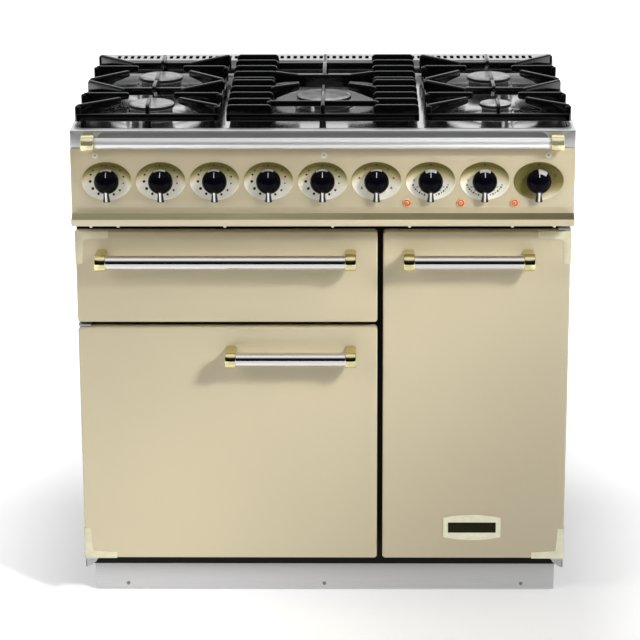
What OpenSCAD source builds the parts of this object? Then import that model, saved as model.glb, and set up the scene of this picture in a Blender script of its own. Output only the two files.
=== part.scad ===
/* [Body] */
// Overall width of the cooker
body_w = 900; // [890:1:910]
// Depth of the body from the door fronts to the back
body_d = 595; // [585:1:605]
// Thickness of the sheet metal liners
sheet = 2; // [1.6:0.1:2.4]
/* [Doors] */
// Lower edge of the oven doors above the floor
door_z0 = 85; // [83:1:88]
// Upper edge of the main oven door
door_z1 = 538; // [530:1:540]
// Lower edge of the grill front
grill_z0 = 548; // [548:1:552]
// Upper edge of the grill front and of the tall door
door_z2 = 719; // [712:1:719]
// Middle of the upright gap between the left and right doors
split_x = 104; // [100:1:108]
// Width of the gaps between the doors
door_gap = 10; // [9:0.5:11]
// Whole thickness of a door
door_t = 42; // [41:0.5:42]
/* [Handles] */
// Radius of the handle tubes
handle_r = 12.5; // [11:0.5:13]
// Radius of the brass end collars
collar_r = 16; // [15:0.5:16]
// Distance from the door front to the handle's centre line
handle_off = 37; // [35:0.5:37]
/* [Controls] */
// Distance between neighbouring knobs
knob_pitch = 96.4; // [94:0.2:97]
// Height of the knob axes above the floor
knob_z = 819; // [817:1:821]
// Radius of a knob's round body
knob_r = 22; // [20:0.5:23]
// Push-in travel of a gas knob
knob_push = 4; // [2:0.5:4]
/* [Hob] */
// Top of the pan supports above the floor
grate_z = 946; // [942:1:948]
// Thickness of a pan support's blades
blade_w = 6.5; // [5:0.5:8]
// Radius of the handrail tube
rail_r = 10; // [8:0.5:10]
/* [Feet] */
// Radius of the rear rollers
roller_r = 25; // [25:1:26]
/* [Hidden] */
$fn = 48;
hw = body_w / 2;
yb = 324;                 // back plane
yf = yb - body_d;         // door front plane
yl = yf + door_t;         // rear plane of the doors
yfr = yl + 3;             // front face of the black front frame
ycut = yf - 22;           // front plane of the fascia and hob band
hy = yf - handle_off;     // handle centre line
ry = yf - 38;             // handrail centre line
lx0 = -hw + 2;            // left edge of the left doors
lx1 = split_x - door_gap / 2;
rx0 = split_x + door_gap / 2;
rx1 = hw - 2;
px = hw - 14;             // hinge pin distance from the middle
py = yf + 9;              // hinge pin depth
pin_r = 4;
// oven cavities: x0, x1, z0, z1, back
lc = [-395, 45, 130, 500, 200];
rc = [155, 402, 130, 690, 200];
gc = [-395, 45, 575, 700, 170];
fan_l = [-175, 300];
fan_r = [278.5, 400];
kx = [for (i = [0:8]) (i - 4) * knob_pitch];
tray_z = 897;
burners = [[-315, -129, 42, 928], [-315, 109, 42, 928], [0, -23, 51, 920], [315, 109, 42, 928], [315, -129, 29, 928]];
pipe_lv = [872, 842, 852, 832, 862];

cream = [0.86, 0.81, 0.68];
brass = [0.72, 0.64, 0.35];
steel = [0.75, 0.75, 0.76];
black = [0.06, 0.06, 0.06];

// box from its two corners
module bx(a, b) { translate(a) cube([b[0] - a[0], b[1] - a[1], b[2] - a[2]]); }
// cylinder along X, Y or Z between two coordinates
module cx(x0, x1, y, z, r) { translate([x0, y, z]) rotate([0, 90, 0]) cylinder(r = r, h = x1 - x0); }
module cy(x, y0, y1, z, r) { translate([x, y1, z]) rotate([90, 0, 0]) cylinder(r = r, h = y1 - y0); }
module cz(x, y, z0, z1, r) { translate([x, y, z0]) cylinder(r = r, h = z1 - z0); }
// upright plate with rounded corners
module rplate(x0, x1, z0, z1, y0, y1, r) {
    translate([0, y1, 0]) rotate([90, 0, 0]) linear_extrude(y1 - y0) {
        translate([x0 + r, z0]) square([x1 - x0 - 2 * r, z1 - z0]);
        translate([x0, z0 + r]) square([x1 - x0, z1 - z0 - 2 * r]);
        for (x = [x0 + r, x1 - r], z = [z0 + r, z1 - r]) translate([x, z]) circle(r = r, $fn = 32);
    }
}
// flat ellipse outline
module oval(a, b, n = 36) { polygon([for (i = [0:n - 1]) [a * cos(360 * i / n), b * sin(360 * i / n)]]); }
module oval_y(x, z, a, b, y0, y1) { translate([x, y1, z]) rotate([90, 0, 0]) linear_extrude(y1 - y0) oval(a, b); }
// straight bar seen from above between points a and b
module bar(a, b, z0, z1, w) {
    translate([a[0], a[1], z0]) rotate([0, 0, atan2(b[1] - a[1], b[0] - a[0])])
        translate([0, -w / 2, 0]) cube([norm(b - a), w, z1 - z0]);
}
// box shell open towards the front, with a front flange
module liner(c, flange = 14) {
    difference() {
        union() {
            bx([c[0] - sheet, yfr + 2, c[2] - sheet], [c[1] + sheet, c[4] + sheet, c[3] + sheet]);
            bx([c[0] - flange, yfr + 2, c[2] - flange], [c[1] + flange, yfr + 4, c[3] + flange]);
        }
        bx([c[0], yfr, c[2]], [c[1], c[4], c[3]]);
    }
}
// pair of ledges that hold one shelf
module ledges(c, z) {
    bx([c[0], -190, z - 6], [c[0] + 6, 160, z - 3]);
    bx([c[1] - 6, -190, z - 6], [c[1], 160, z - 3]);
}
left_shelves = [245, 375];
right_shelves = [240, 385, 530];

module chassis() color(black) {
    difference() {
        union() {
            bx([-hw + 3, yfr + 2, 55], [hw - 3, yb - 8, 58]);
            bx([-hw + 1.2, yfr, 55], [hw - 1.2, yfr + 2, 736]);
            for (s = [-1, 1]) {
                bx([s > 0 ? hw - 20 : -hw + 3, yfr + 2, 58], [s > 0 ? hw - 3 : -hw + 20, yfr + 19, 864]);
                bx([s > 0 ? hw - 20 : -hw + 3, yb - 25, 58], [s > 0 ? hw - 3 : -hw + 20, yb - 8, 864]);
                bx([s > 0 ? hw - 20 : -hw + 3, yfr + 2, 864], [s > 0 ? hw - 3 : -hw + 20, yb - 8, 879]);
                // threaded boss for a levelling foot
                cz(s * 380, -190, 40, 80, 12);
                // roller cheeks
                for (t = [-1, 1]) bx([s * 380 + t * 20 - 2, 250, 12], [s * 380 + t * 20 + 2, 290, 56]);
            }
            bx([-hw + 3, yb - 25, 865], [hw - 3, yb - 8, 879]);
        }
        bx([lc[0], yfr - 1, lc[2]], [lc[1], yfr + 3, lc[3]]);
        bx([rc[0], yfr - 1, rc[2]], [rc[1], yfr + 3, rc[3]]);
        bx([gc[0], yfr - 1, gc[2]], [gc[1], yfr + 3, gc[3]]);
        for (s = [-1, 1]) cz(s * 380, -190, 30, 90, 5.06);
        bx([-420 - 14.5, yb - 30, 835.5], [-420 + 14.5, yb, 864.5]);
    }
    for (s = [-1, 1]) cx(s * 380 - 22, s * 380 + 22, 270, roller_r, 5);
}
module side_panels() color(black) for (s = [-1, 1])
    difference() {
        bx([s > 0 ? hw - 1.2 : -hw, yfr, 58], [s > 0 ? hw : -hw + 1.2, yb - 8, 879]);
        for (i = [0:7]) bx([s > 0 ? hw - 3 : -hw - 3, 120 + i * 18, 800], [s > 0 ? hw + 3 : -hw + 3, 128 + i * 18, 850]);
    }
module back_panel() color(steel) difference() {
    bx([-hw, yb - 8, 58], [hw, yb - 6.5, 879]);
    // louvre slots
    for (i = [0:11], s = [-1, 1]) bx([s * 190 - 60, yb - 9, 620 + i * 14], [s * 190 + 60, yb - 6, 626 + i * 14]);
    // gas inlet and cable entry
    cy(-420, yb - 9, yb, 850, 13.5);
    cy(380, yb - 9, yb, 120, 10.5);
    // stability bracket holes
    for (x = [-150, 150], z = [180, 240]) cy(x, yb - 9, yb, z, 3.3);
}
module left_oven_liner() color([0.16, 0.16, 0.18]) difference() {
    union() { liner(lc); for (z = left_shelves) ledges(lc, z); }
    cy(fan_l[0], lc[4] - 1, lc[4] + 3, fan_l[1], 7);
    for (s = [-1, 1]) cy(fan_l[0] + s * 12, lc[4] - 1, lc[4] + 3, fan_l[1] - 87, 2.8);
}
module right_oven_liner() color([0.16, 0.16, 0.18]) difference() {
    union() { liner(rc); for (z = right_shelves) ledges(rc, z); }
    cy(fan_r[0], rc[4] - 1, rc[4] + 3, fan_r[1], 7);
    for (s = [-1, 1]) cy(fan_r[0] + s * 12, rc[4] - 1, rc[4] + 3, fan_r[1] - 87, 2.8);
}
// grill compartment with the fixed members of its two slides
module grill_liner() color([0.3, 0.3, 0.32]) {
    liner(gc);
    bx([gc[0], -215, 598], [gc[0] + 5, 150, 618]);
    bx([gc[1] - 5, -215, 598], [gc[1], 150, 618]);
}
// pressed hob tray with a front band and a sunken floor
module hob_top() color(steel) difference() {
    bx([-hw, ycut, 879], [hw, yb - 60, 912]);
    bx([-hw + 2, ycut + 2, 870], [hw - 2, yb - 62, tray_z - 3]);
    bx([-hw + 9, ycut + 14, tray_z], [hw - 9, yb - 68, 920]);
    for (b = burners) cz(b[0], b[1], 880, 900, 22);
}
// raised rear trim with a row of flue slots
module flue_trim() color(steel) difference() {
    bx([-hw, yb - 60, 879], [hw, yb, 925]);
    bx([-hw + 1.5, yb - 58.5, 870], [hw - 1.5, yb - 1.5, 923]);
    for (i = [0:63]) bx([-412 + i * 13 - 3.5, yb - 44, 920], [-412 + i * 13 + 3.5, yb - 16, 930]);
}
// fascia outline in depth and height: flat face, cove, lip and bottom return
fa_o = concat([[ycut, 879], [ycut, 767]], [for (a = [15:15:90]) [ycut - 18 * (1 - cos(a)), 767 - 12 * sin(a)]], [[ycut - 18, 740], [yfr, 740]]);
fa_i = concat([[yfr, 742], [ycut - 16, 742]], [for (a = [90:-15:15]) [ycut + 2 - 18 * (1 - cos(a)), 765 - 12 * sin(a)]], [[ycut + 2, 765], [ycut + 2, 879]]);
module control_fascia() color(cream) difference() {
    union() {
        translate([-hw, 0, 0]) rotate([90, 0, 90]) linear_extrude(body_w) polygon(concat(fa_o, fa_i));
        for (x = [-hw, hw - 2]) translate([x, 0, 0]) rotate([90, 0, 90]) linear_extrude(2) polygon(concat(fa_o, [[yfr, 879]]));
    }
    for (x = kx) oval_y(x, knob_z, 42, 32.8, ycut - 1, ycut + 3);
    for (i = [0:2]) cy(151 + i * 96, ycut - 1, ycut + 3, 779, 6);
    for (x = [-405, 3, 402]) cy(x, ycut - 1, ycut + 3, 866, 2.6);
}
module knob_bezels() color([0.78, 0.74, 0.6]) for (x = kx) difference() {
    union() {
        oval_y(x, knob_z, 44.5, 35.2, ycut - 1.5, ycut);
        oval_y(x, knob_z, 41.8, 32.6, ycut, ycut + 7);
    }
    oval_y(x, knob_z, 40.6, 31.4, ycut - 2, ycut + 5.8);
    cy(x, ycut, ycut + 8, knob_z, 6);
}
module handrail() color(steel) difference() {
    cx(-424, 424, ry, 892, rail_r);
    cx(-425, 425, ry, 892, rail_r - 1.5);
}
module handrail_brackets() color(brass) for (s = [-1, 1]) difference() {
    union() {
        cx(s > 0 ? 405 : -428, s > 0 ? 428 : -405, ry, 892, 15);
        cy(s * 416.5, ry, ycut, 892, 7);
    }
    cx(s > 0 ? 404 : -425, s > 0 ? 425 : -404, ry, 892, rail_r + 0.05);
}
module plinth() color([0.8, 0.8, 0.8]) {
    bx([-435, -223, 3], [435, -221.5, 55]);
    bx([-435, -221.5, 53.5], [435, -204, 55]);
    for (x = [-435, 433.5]) bx([x, -221.5, 3], [x + 1.5, -204, 53.5]);
}
module burner_heads() color([0.62, 0.62, 0.63]) for (b = burners) translate([b[0], b[1], 0]) difference() {
    union() {
        translate([0, 0, tray_z]) cylinder(r = b[2] + 5, h = 5);
        translate([0, 0, tray_z]) cylinder(r = b[2] - 5, h = b[3] - 9 - tray_z);
        translate([0, 0, 885]) cylinder(r = 21.5, h = 14);
    }
    translate([0, 0, 902]) cylinder(r = b[2] - 12, h = 40);
    translate([0, 0, 880]) cylinder(r = 8, h = 60);
}
module burner_caps() color([0.5, 0.5, 0.5]) for (b = burners) translate([b[0], b[1], b[3] - 9])
    rotate_extrude() polygon([[0, 0], [b[2] - 1, 0], [b[2], 1.5], [b[2], 5.5], [b[2] - 2, 8], [b[2] - 5, 9], [0, 9]]);
// manifold rail with five valve bodies, burner feed pipes and the rear inlet
module gas_manifold() color([0.7, 0.6, 0.35]) difference() {
    union() {
        cx(-424, 12, -246, 797, 7);
        cy(-420, -249, yb - 12, 850, 5.4);
        cz(-420, -246, 795, 853, 6);
        cy(-420, yb - 20, yb, 850, 13);
        for (i = [0:4]) {
            b = burners[i];
            y1 = -200 + 12 * i;
            lv = pipe_lv[i];
            bx([kx[i] - 13, -276, 788], [kx[i] + 13, -236, 833]);
            cy(kx[i], -238, y1 + 2.7, 826, 3.1);
            cz(kx[i], y1, 824, lv + 2.4, 3.5);
            cx(min(kx[i], b[0]) - 2.4, max(kx[i], b[0]) + 2.4, y1, lv, 3.9);
            cy(b[0], y1 - 2.7, b[1] + 2.2, lv, 3.2);
            cz(b[0], b[1], lv - 2, 885, 3.6);
        }
    }
    for (i = [0:4]) cy(kx[i], -280, -241, knob_z, 8);
    cy(-420, yb - 18, yb + 1, 850, 9.3);
}
module oven_switches() color([0.2, 0.2, 0.22]) for (i = [5:8]) difference() {
    bx([kx[i] - 20, -284, knob_z - 20], [kx[i] + 20, -250, knob_z + 20]);
    cy(kx[i], -285, -255, knob_z, 4.06);
}
module ring_element(f, y) { translate([f[0], y, f[1]]) rotate([90, 0, 0]) rotate_extrude() translate([88, 0]) circle(r = 3.2, $fn = 20);
    for (s = [-1, 1]) cy(f[0] + s * 12, y, 206, f[1] - 87, 2.6); }
module heating_elements() color([0.25, 0.2, 0.2]) {
    // grill element: seven runs joined by end bars
    for (i = [0:6]) cy(-340 + i * 55, -170, 152, 684, 3.5);
    for (i = [0:2]) { cx(-342 + i * 110, -283 + i * 110, -168, 684, 4.1); cx(-287 + i * 110, -228 + i * 110, 150, 684, 4.1); }
    for (x = [-340, -10]) cy(x, 148, 170, 684, 2.6);
    ring_element(fan_l, 192);
    ring_element(fan_r, 192);
}
// wire shelf: frame and rods
module shelf(c, z) {
    x0 = c[0] + 2; x1 = c[1] - 2;
    for (y = [-185, 155]) cx(x0, x1, y, z, 3);
    for (x = [x0 + 3, x1 - 3]) cy(x, -185, 155, z, 3);
    n = floor((x1 - x0) / 24);
    for (i = [1:n - 1]) cy(x0 + i * (x1 - x0) / n, -185, 155, z, 1.8);
    cx(x0, x1, -15, z, 3);
}
module oven_shelves() color([0.7, 0.7, 0.7]) {
    for (z = left_shelves) shelf(lc, z);
    for (z = right_shelves) shelf(rc, z);
}
// fan cover plate with its air holes, standoffs and the motor behind the oven wall
module fan_housing(f, w, h) {
    difference() {
        union() {
            bx([f[0] - w, 179, f[1] - h], [f[0] + w, 180.5, f[1] + h]);
            for (sx = [-1, 1], sz = [-1, 1]) cy(f[0] + sx * (w - 8), 180, 200, f[1] + sz * (h - 8), 4);
        }
        for (r = [18, 36, 54], k = [0:r / 3 - 1]) cy(f[0] + r * cos(360 * k * 3 / r), 178, 182, f[1] + r * sin(360 * k * 3 / r), 3.2);
        cy(f[0], 178, 182, f[1], 4.5);
    }
    difference() {
        union() { cy(f[0], 202, 244, f[1], 34); bx([f[0] - 50, 202, f[1] - 14], [f[0] + 50, 204, f[1] + 14]); }
        cy(f[0], 201, 238, f[1], 4.06);
    }
}
module fan_housings() color([0.3, 0.3, 0.3]) { fan_housing(fan_l, 130, 110); fan_housing(fan_r, 112, 110); }
module neon_lamps() color([0.9, 0.45, 0.15]) for (i = [0:2]) {
    cy(151 + i * 96, ycut - 2.5, ycut, 779, 7.3);
    cy(151 + i * 96, ycut, ycut + 16, 779, 5.9);
}
module screws() color([0.8, 0.8, 0.8]) {
    for (x = [-405, 3, 402]) { cy(x, ycut - 2.4, ycut, 866, 5.5); cy(x, ycut, ycut + 8, 866, 2.5); }
    for (x = [-373, 0, 373]) cy(x, -225, -223, 13, 4);
}
// fixed hinge brackets with their pins
module hinge_bracket(s, z0, zp0, zp1) {
    bx([s > 0 ? px - 11 : -px - 11, py - 8, z0], [s > 0 ? px + 11 : -px + 11, yfr, z0 + 3]);
    cz(s * px, py, zp0, zp1, pin_r);
}
module door_hinges() color([0.55, 0.55, 0.55]) {
    hinge_bracket(-1, door_z0 - 4, door_z0 - 3, door_z0 + 12);
    hinge_bracket(-1, door_z1 + 2.5, door_z1 - 12, door_z1 + 4);
    hinge_bracket(1, door_z0 - 4, door_z0 - 3, door_z0 + 12);
    hinge_bracket(1, door_z2 + 3, door_z2 - 12, door_z2 + 4);
}
module seal(c) difference() {
    bx([c[0] - 12, yl + 0.3, c[2] - 12], [c[1] + 12, yfr, c[3] + 12]);
    bx([c[0] - 4, yl, c[2] - 4], [c[1] + 4, yfr + 1, c[3] + 4]);
}
module oven_seals() color([0.1, 0.1, 0.1]) { seal(lc); seal(rc); }

// round knob body with a raised pointer lever, bored for its spindle
module knob_body(x) {
    difference() {
        union() {
            translate([x, ycut - 1, knob_z]) rotate([90, 0, 0]) rotate_extrude()
                polygon([[0, 0], [knob_r - 3, 0], [knob_r, 2], [knob_r, 5], [knob_r - 2, 10], [knob_r - 6, 13], [0, 15]]);
            bx([x - 5.5, ycut - 27, knob_z - 36], [x + 5.5, ycut - 10, knob_z + 14]);
        }
        cy(x, ycut - 18, ycut, knob_z, 4.05);
    }
}
module gas_knob(i) color(black) knob_body(kx[i]);
module tap_plug(i) color(brass) {
    cy(kx[i], -275, -243, knob_z, 7.95);
    cy(kx[i], ycut - 12, -274, knob_z, 4);
}
// oven control knob with its own spindle
module control_knob(i) color(black) { knob_body(kx[i]); cy(kx[i], ycut - 17, -257, knob_z, 4.0); }

// blade whose outer end a reaches down to the frame
module blade(a, b) {
    bar(a, b, grate_z - 15, grate_z, blade_w);
    m = a + (b - a) * 0.3;
    bar(a, m, 916, grate_z - 4, blade_w);
}
function P(x, d) = [x, d - 271];
function M(p) = [-630 - p[0], p[1]];
module side_support() {
    for (d = [36, 256, 492]) bar(P(-443, d), P(-187, d), 916, 929, 9);
    for (x = [-438.5, -191.5]) bar(P(x, 32), P(x, 496), 916, 929, 8);
    bl = [[P(-442, 36), P(-368, 99)], [P(-441, 138), P(-356, 138)], [P(-439, 252), P(-369, 175)], [P(-439, 264), P(-373, 339)], [P(-441, 380), P(-358, 380)], [P(-442, 490), P(-370, 413)]];
    for (b = bl) { blade(b[0], b[1]); blade(M(b[0]), M(b[1])); }
    blade(P(-315, 34), P(-315, 92));
    blade(P(-315, 256), P(-315, 190));
    blade(P(-315, 256), P(-315, 332));
    blade(P(-315, 494), P(-315, 425));
    for (x = [-430, -200, -315], d = [38, 490]) cz(P(x, d)[0], P(x, d)[1], tray_z, 918, 6);
}
module centre_support() {
    for (d = [36, 490]) bar(P(-173, d), P(173, d), 916, 929, 9);
    for (s = [-1, 1]) {
        bar(P(s * 169, 32), P(s * 169, 494), 916, 929, 8);
        bar(P(s * 96, 36), P(s * 96, 490), 918, 932, 7);
        for (o = [11.5, 66.8, 120, 173.7, 227], t = [-1, 1]) blade(P(s * 172.5, 262 + t * o), P(s * 92, 262 + t * o));
        bar(P(s * 96, 330), P(s * 46, 297), grate_z - 15, grate_z, blade_w);
        bar(P(s * 96, 189), P(s * 46, 223), grate_z - 15, grate_z, blade_w);
    }
    bar(P(-48, 297), P(48, 297), grate_z - 23, grate_z, blade_w);
    bar(P(-96, 69), P(96, 69), grate_z - 15, grate_z, blade_w);
    bar(P(0, 34), P(0, 205), grate_z - 15, grate_z, blade_w);
    bar(P(0, 297), P(0, 492), grate_z - 15, grate_z, blade_w);
    for (x = [-160, 0, 160], d = [38, 488]) cz(P(x, d)[0], P(x, d)[1], tray_z, 918, 6);
    for (d = [36, 490]) bar(P(-4, d), P(4, d), 925, grate_z - 10, blade_w);
}
module pan_support_left() color(black) side_support();
module pan_support_right() color(black) mirror([1, 0, 0]) side_support();
module pan_support_centre() color(black) centre_support();

// enamelled pan with a hinge block at each end of its pivot edge
module door_panel(x0, x1, z0, z1, s) difference() {
    union() {
        difference() {
            rplate(x0, x1, z0, z1, yf, yl - 20, 5);
            bx([x0 + 2, yf + 3, z0 + 2], [x1 - 2, yl - 15, z1 - 2]);
        }
        if (s != 0) for (z = [z0 + 1, z1 - 21]) bx([s > 0 ? x1 - 24 : x0 + 1, yf + 2, z], [s > 0 ? x1 - 1 : x0 + 24, yl - 20, z + 20]);
    }
    if (s != 0) { cz(s * px, py, z0 - 1, z0 + 14, pin_r + 0.05); cz(s * px, py, z1 - 14, z1 + 1, pin_r + 0.05); }
}
module door_liner(x0, x1, z0, z1) difference() {
    bx([x0 + 8, yl - 20, z0 + 8], [x1 - 8, yl, z1 - 8]);
    bx([x0 + 10, yl - 21, z0 + 10], [x1 - 10, yl - 2, z1 - 10]);
}
module tube(x0, x1, z) difference() {
    cx(x0 + 2, x1 - 2, hy, z, handle_r);
    cx(x0, x1, hy, z, handle_r - 2);
}
// two brass brackets of a handle
module brackets(x0, x1, z) for (s = [0, 1]) difference() {
    union() {
        cx(s ? x1 - 20 : x0, s ? x1 : x0 + 20, hy, z, collar_r);
        cy(s ? x1 - 10 : x0 + 10, hy, yf, z, 9);
    }
    cx(s ? x1 - 21 : x0 + 2, s ? x1 - 2 : x0 + 21, hy, z, handle_r + 0.05);
}
// thin L-shaped cap over a door corner
module corner_cap(x, z, sx, sz) {
    bx([min(x, x + sx * 60), yf - 0.8, min(z, z + sz * 14)], [max(x, x + sx * 60), yf, max(z, z + sz * 14)]);
    bx([min(x, x + sx * 14), yf - 0.8, min(z, z + sz * 60)], [max(x, x + sx * 14), yf, max(z, z + sz * 60)]);
}
module left_door_panel() color(cream) door_panel(lx0, lx1, door_z0, door_z1, -1);
module right_door_panel() color(cream) door_panel(rx0, rx1, door_z0, door_z2, 1);
module left_door_liner() color([0.2, 0.2, 0.2]) door_liner(lx0, lx1, door_z0, door_z1);
module right_door_liner() color([0.2, 0.2, 0.2]) door_liner(rx0, rx1, door_z0, door_z2);
module left_door_handle() color(steel) tube(-178, 60, 489);
module right_door_handle() color(steel) tube(145, 381, 672);
module left_door_fittings() color(brass) { brackets(-178, 60, 489); corner_cap(lx0 + 1, door_z0 + 1, 1, 1); }
module right_door_fittings() color(brass) {
    brackets(145, 381, 672);
    corner_cap(rx1 - 1, door_z0 + 1, -1, 1);
    corner_cap(rx1 - 1, door_z2 - 1, -1, -1);
    rplate(222.5, 329.5, 122, 172, yf - 1.6, yf, 6);
}
module grill_front() color(cream) {
    difference() {
        rplate(lx0, lx1, grill_z0, door_z2, yf, yl - 18, 5);
        bx([lx0 + 2, yf + 3, grill_z0 + 2], [lx1 - 2, yl - 20, door_z2 - 2]);
    }
}
module grill_front_handle() color(steel) tube(-410, 60, 672);
module grill_front_fittings() color(brass) { brackets(-410, 60, 672); corner_cap(lx0 + 1, door_z2 - 1, 1, -1); }
// pull-out frame fixed behind the grill front
module grill_carriage() color([0.6, 0.6, 0.6]) {
    bx([-380, yl - 18, 594], [30, yl - 16, 640]);
    for (s = [-1, 1]) {
        xm = s > 0 ? 33 : -383;
        bx([xm - 2, yl - 18, 600], [xm + 2, 140, 616]);
        bx([s > 0 ? 16 : -381, yl - 18, 581], [s > 0 ? 31 : -366, 140, 583]);
        bx([s > 0 ? 29 : -381, yl - 18, 581], [s > 0 ? 31 : -379, 140, 601]);
    }
    bx([-381, 136, 581], [31, 140, 601]);
}
module grill_pan() color([0.15, 0.15, 0.16]) difference() {
    union() {
        bx([-374, -210, 583], [24, 130, 585]);
        bx([-374, -210, 583], [24, 130, 612]);
    }
    bx([-372, -208, 585], [22, 128, 620]);
}
module grill_trivet() color([0.7, 0.7, 0.7]) {
    for (y = [-195, 115]) cx(-365, 15, y, 600, 2.5);
    for (i = [0:15]) cy(-362 + i * 24.9, -195, 115, 600, 1.8);
    for (x = [-362, 11.5], y = [-195, 115]) cz(x, y, 585, 600, 2.5);
}
module grill_slide_members() color([0.75, 0.75, 0.75]) for (s = [-1, 1]) {
    xm = s > 0 ? 37.5 : -387.5;
    bx([xm - 2, -212, 598], [xm + 2, 148, 618]);
}
// fan wheel: disc, eight vanes and its shaft
module fan_wheel(f) {
    cy(f[0], 196, 197.2, f[1], 68);
    cy(f[0], 186, 197, f[1], 10);
    cy(f[0], 184, 236, f[1], 4);
    for (k = [0:7]) translate([f[0], 0, f[1]]) rotate([0, k * 45, 0]) bx([30, 186, -1], [66, 196.5, 1]);
}
module left_oven_fan() color([0.7, 0.7, 0.7]) fan_wheel(fan_l);
module right_oven_fan() color([0.7, 0.7, 0.7]) fan_wheel(fan_r);
module rear_rollers() color([0.1, 0.1, 0.1]) for (s = [-1, 1]) difference() {
    cx(s * 380 - 16, s * 380 + 16, 270, roller_r, roller_r);
    cx(s * 380 - 17, s * 380 + 17, 270, roller_r, 5.06);
}
module levelling_feet() color([0.3, 0.3, 0.3]) for (s = [-1, 1]) {
    cz(s * 380, -190, 0, 8, 20);
    cz(s * 380, -190, 8, 14, 9);
    cz(s * 380, -190, 14, 78, 5);
}

chassis();
side_panels();
back_panel();
left_oven_liner();
right_oven_liner();
grill_liner();
hob_top();
flue_trim();
control_fascia();
knob_bezels();
handrail();
handrail_brackets();
plinth();
burner_heads();
burner_caps();
gas_manifold();
oven_switches();
heating_elements();
oven_shelves();
fan_housings();
neon_lamps();
screws();
door_hinges();
oven_seals();
gas_knob(0);  // gas_knob_1
gas_knob(1);  // gas_knob_2
gas_knob(2);  // gas_knob_3
gas_knob(3);  // gas_knob_4
gas_knob(4);  // gas_knob_5
tap_plug(0);  // tap_plug_1
tap_plug(1);  // tap_plug_2
tap_plug(2);  // tap_plug_3
tap_plug(3);  // tap_plug_4
tap_plug(4);  // tap_plug_5
control_knob(5);  // control_knob_1
control_knob(6);  // control_knob_2
control_knob(7);  // control_knob_3
control_knob(8);  // control_knob_4
pan_support_left();
pan_support_centre();
pan_support_right();
left_door_panel();
left_door_liner();
left_door_handle();
left_door_fittings();
right_door_panel();
right_door_liner();
right_door_handle();
right_door_fittings();
grill_front();
grill_front_handle();
grill_front_fittings();
grill_carriage();
grill_pan();
grill_trivet();
grill_slide_members();
left_oven_fan();
right_oven_fan();
rear_rollers();
levelling_feet();
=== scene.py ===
import math
import random
import bpy
import bmesh
from mathutils import Vector, Matrix


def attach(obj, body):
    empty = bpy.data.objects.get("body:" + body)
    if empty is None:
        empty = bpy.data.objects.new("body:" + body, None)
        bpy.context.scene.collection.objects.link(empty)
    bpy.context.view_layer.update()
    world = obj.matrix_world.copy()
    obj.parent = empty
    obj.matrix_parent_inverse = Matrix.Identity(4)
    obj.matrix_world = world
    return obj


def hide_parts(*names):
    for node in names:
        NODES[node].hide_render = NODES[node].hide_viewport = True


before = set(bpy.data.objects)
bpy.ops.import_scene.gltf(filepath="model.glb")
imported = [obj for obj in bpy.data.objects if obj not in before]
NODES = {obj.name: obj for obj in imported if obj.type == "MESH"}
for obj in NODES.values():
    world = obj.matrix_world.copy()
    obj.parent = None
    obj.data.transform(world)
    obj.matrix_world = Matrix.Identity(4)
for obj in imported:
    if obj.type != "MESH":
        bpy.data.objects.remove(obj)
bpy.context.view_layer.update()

random.seed(7)
S = 0.001
rad = math.radians

# ------------------------------------------------------------------ camera
cam_data = bpy.data.cameras.new("camera")
cam = bpy.data.objects.new("camera", cam_data)
bpy.context.scene.collection.objects.link(cam)
bpy.context.scene.camera = cam
cx_, cy_, cz_, tilt, fpx, roll, pan = 55.85, -4671.0, 1930.0, 0.28821, 2529.5, -0.00398, -0.01394
fw = Vector((math.sin(pan) * math.cos(tilt), math.cos(pan) * math.cos(tilt), -math.sin(tilt)))
rt = Vector((math.cos(pan), -math.sin(pan), 0))
up = rt.cross(fw)
rt2 = rt * math.cos(roll) + up * math.sin(roll)
up2 = up * math.cos(roll) - rt * math.sin(roll)
m = Matrix((rt2, up2, -fw)).transposed().to_4x4()
m.translation = Vector((cx_, cy_, cz_)) * S
cam.matrix_world = m
cam_data.sensor_width = 36.0
cam_data.lens = fpx / 640 * 36.0
cam_data.shift_y = -0.06
cam_data.clip_start, cam_data.clip_end = 0.05, 200

# ------------------------------------------------------------------ materials
def new_mat(name):
    mt = bpy.data.materials.new(name)
    mt.use_nodes = True
    nt = mt.node_tree
    bsdf = nt.nodes["Principled BSDF"]
    return mt, nt, bsdf

def lk(nt, a, b):
    nt.links.new(a, b)

def coords(nt, scale=(1, 1, 1), rot=(0, 0, 0)):
    tc = nt.nodes.new("ShaderNodeTexCoord")
    mp = nt.nodes.new("ShaderNodeMapping")
    mp.inputs["Scale"].default_value = scale
    mp.inputs["Rotation"].default_value = rot
    lk(nt, tc.outputs["Object"], mp.inputs["Vector"])
    return mp.outputs["Vector"]

def noise(nt, vec, scale, detail=3.0, rough=0.5):
    n = nt.nodes.new("ShaderNodeTexNoise")
    n.inputs["Scale"].default_value = scale
    n.inputs["Detail"].default_value = detail
    n.inputs["Roughness"].default_value = rough
    lk(nt, vec, n.inputs["Vector"])
    return n.outputs["Fac"]

def ramp(nt, fac, stops):
    r = nt.nodes.new("ShaderNodeValToRGB")
    el = r.color_ramp.elements
    while len(el) < len(stops):
        el.new(0.5)
    for e, (p, c) in zip(el, stops):
        e.position = p
        e.color = tuple(c) + (1,) if len(c) == 3 else c
    lk(nt, fac, r.inputs["Fac"])
    return r.outputs["Color"]

def maprange(nt, fac, a, b, lo=0.3, hi=0.7):
    r = nt.nodes.new("ShaderNodeMapRange")
    r.inputs["From Min"].default_value = lo
    r.inputs["From Max"].default_value = hi
    r.inputs["To Min"].default_value = a
    r.inputs["To Max"].default_value = b
    lk(nt, fac, r.inputs["Value"])
    return r.outputs["Result"]

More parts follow.
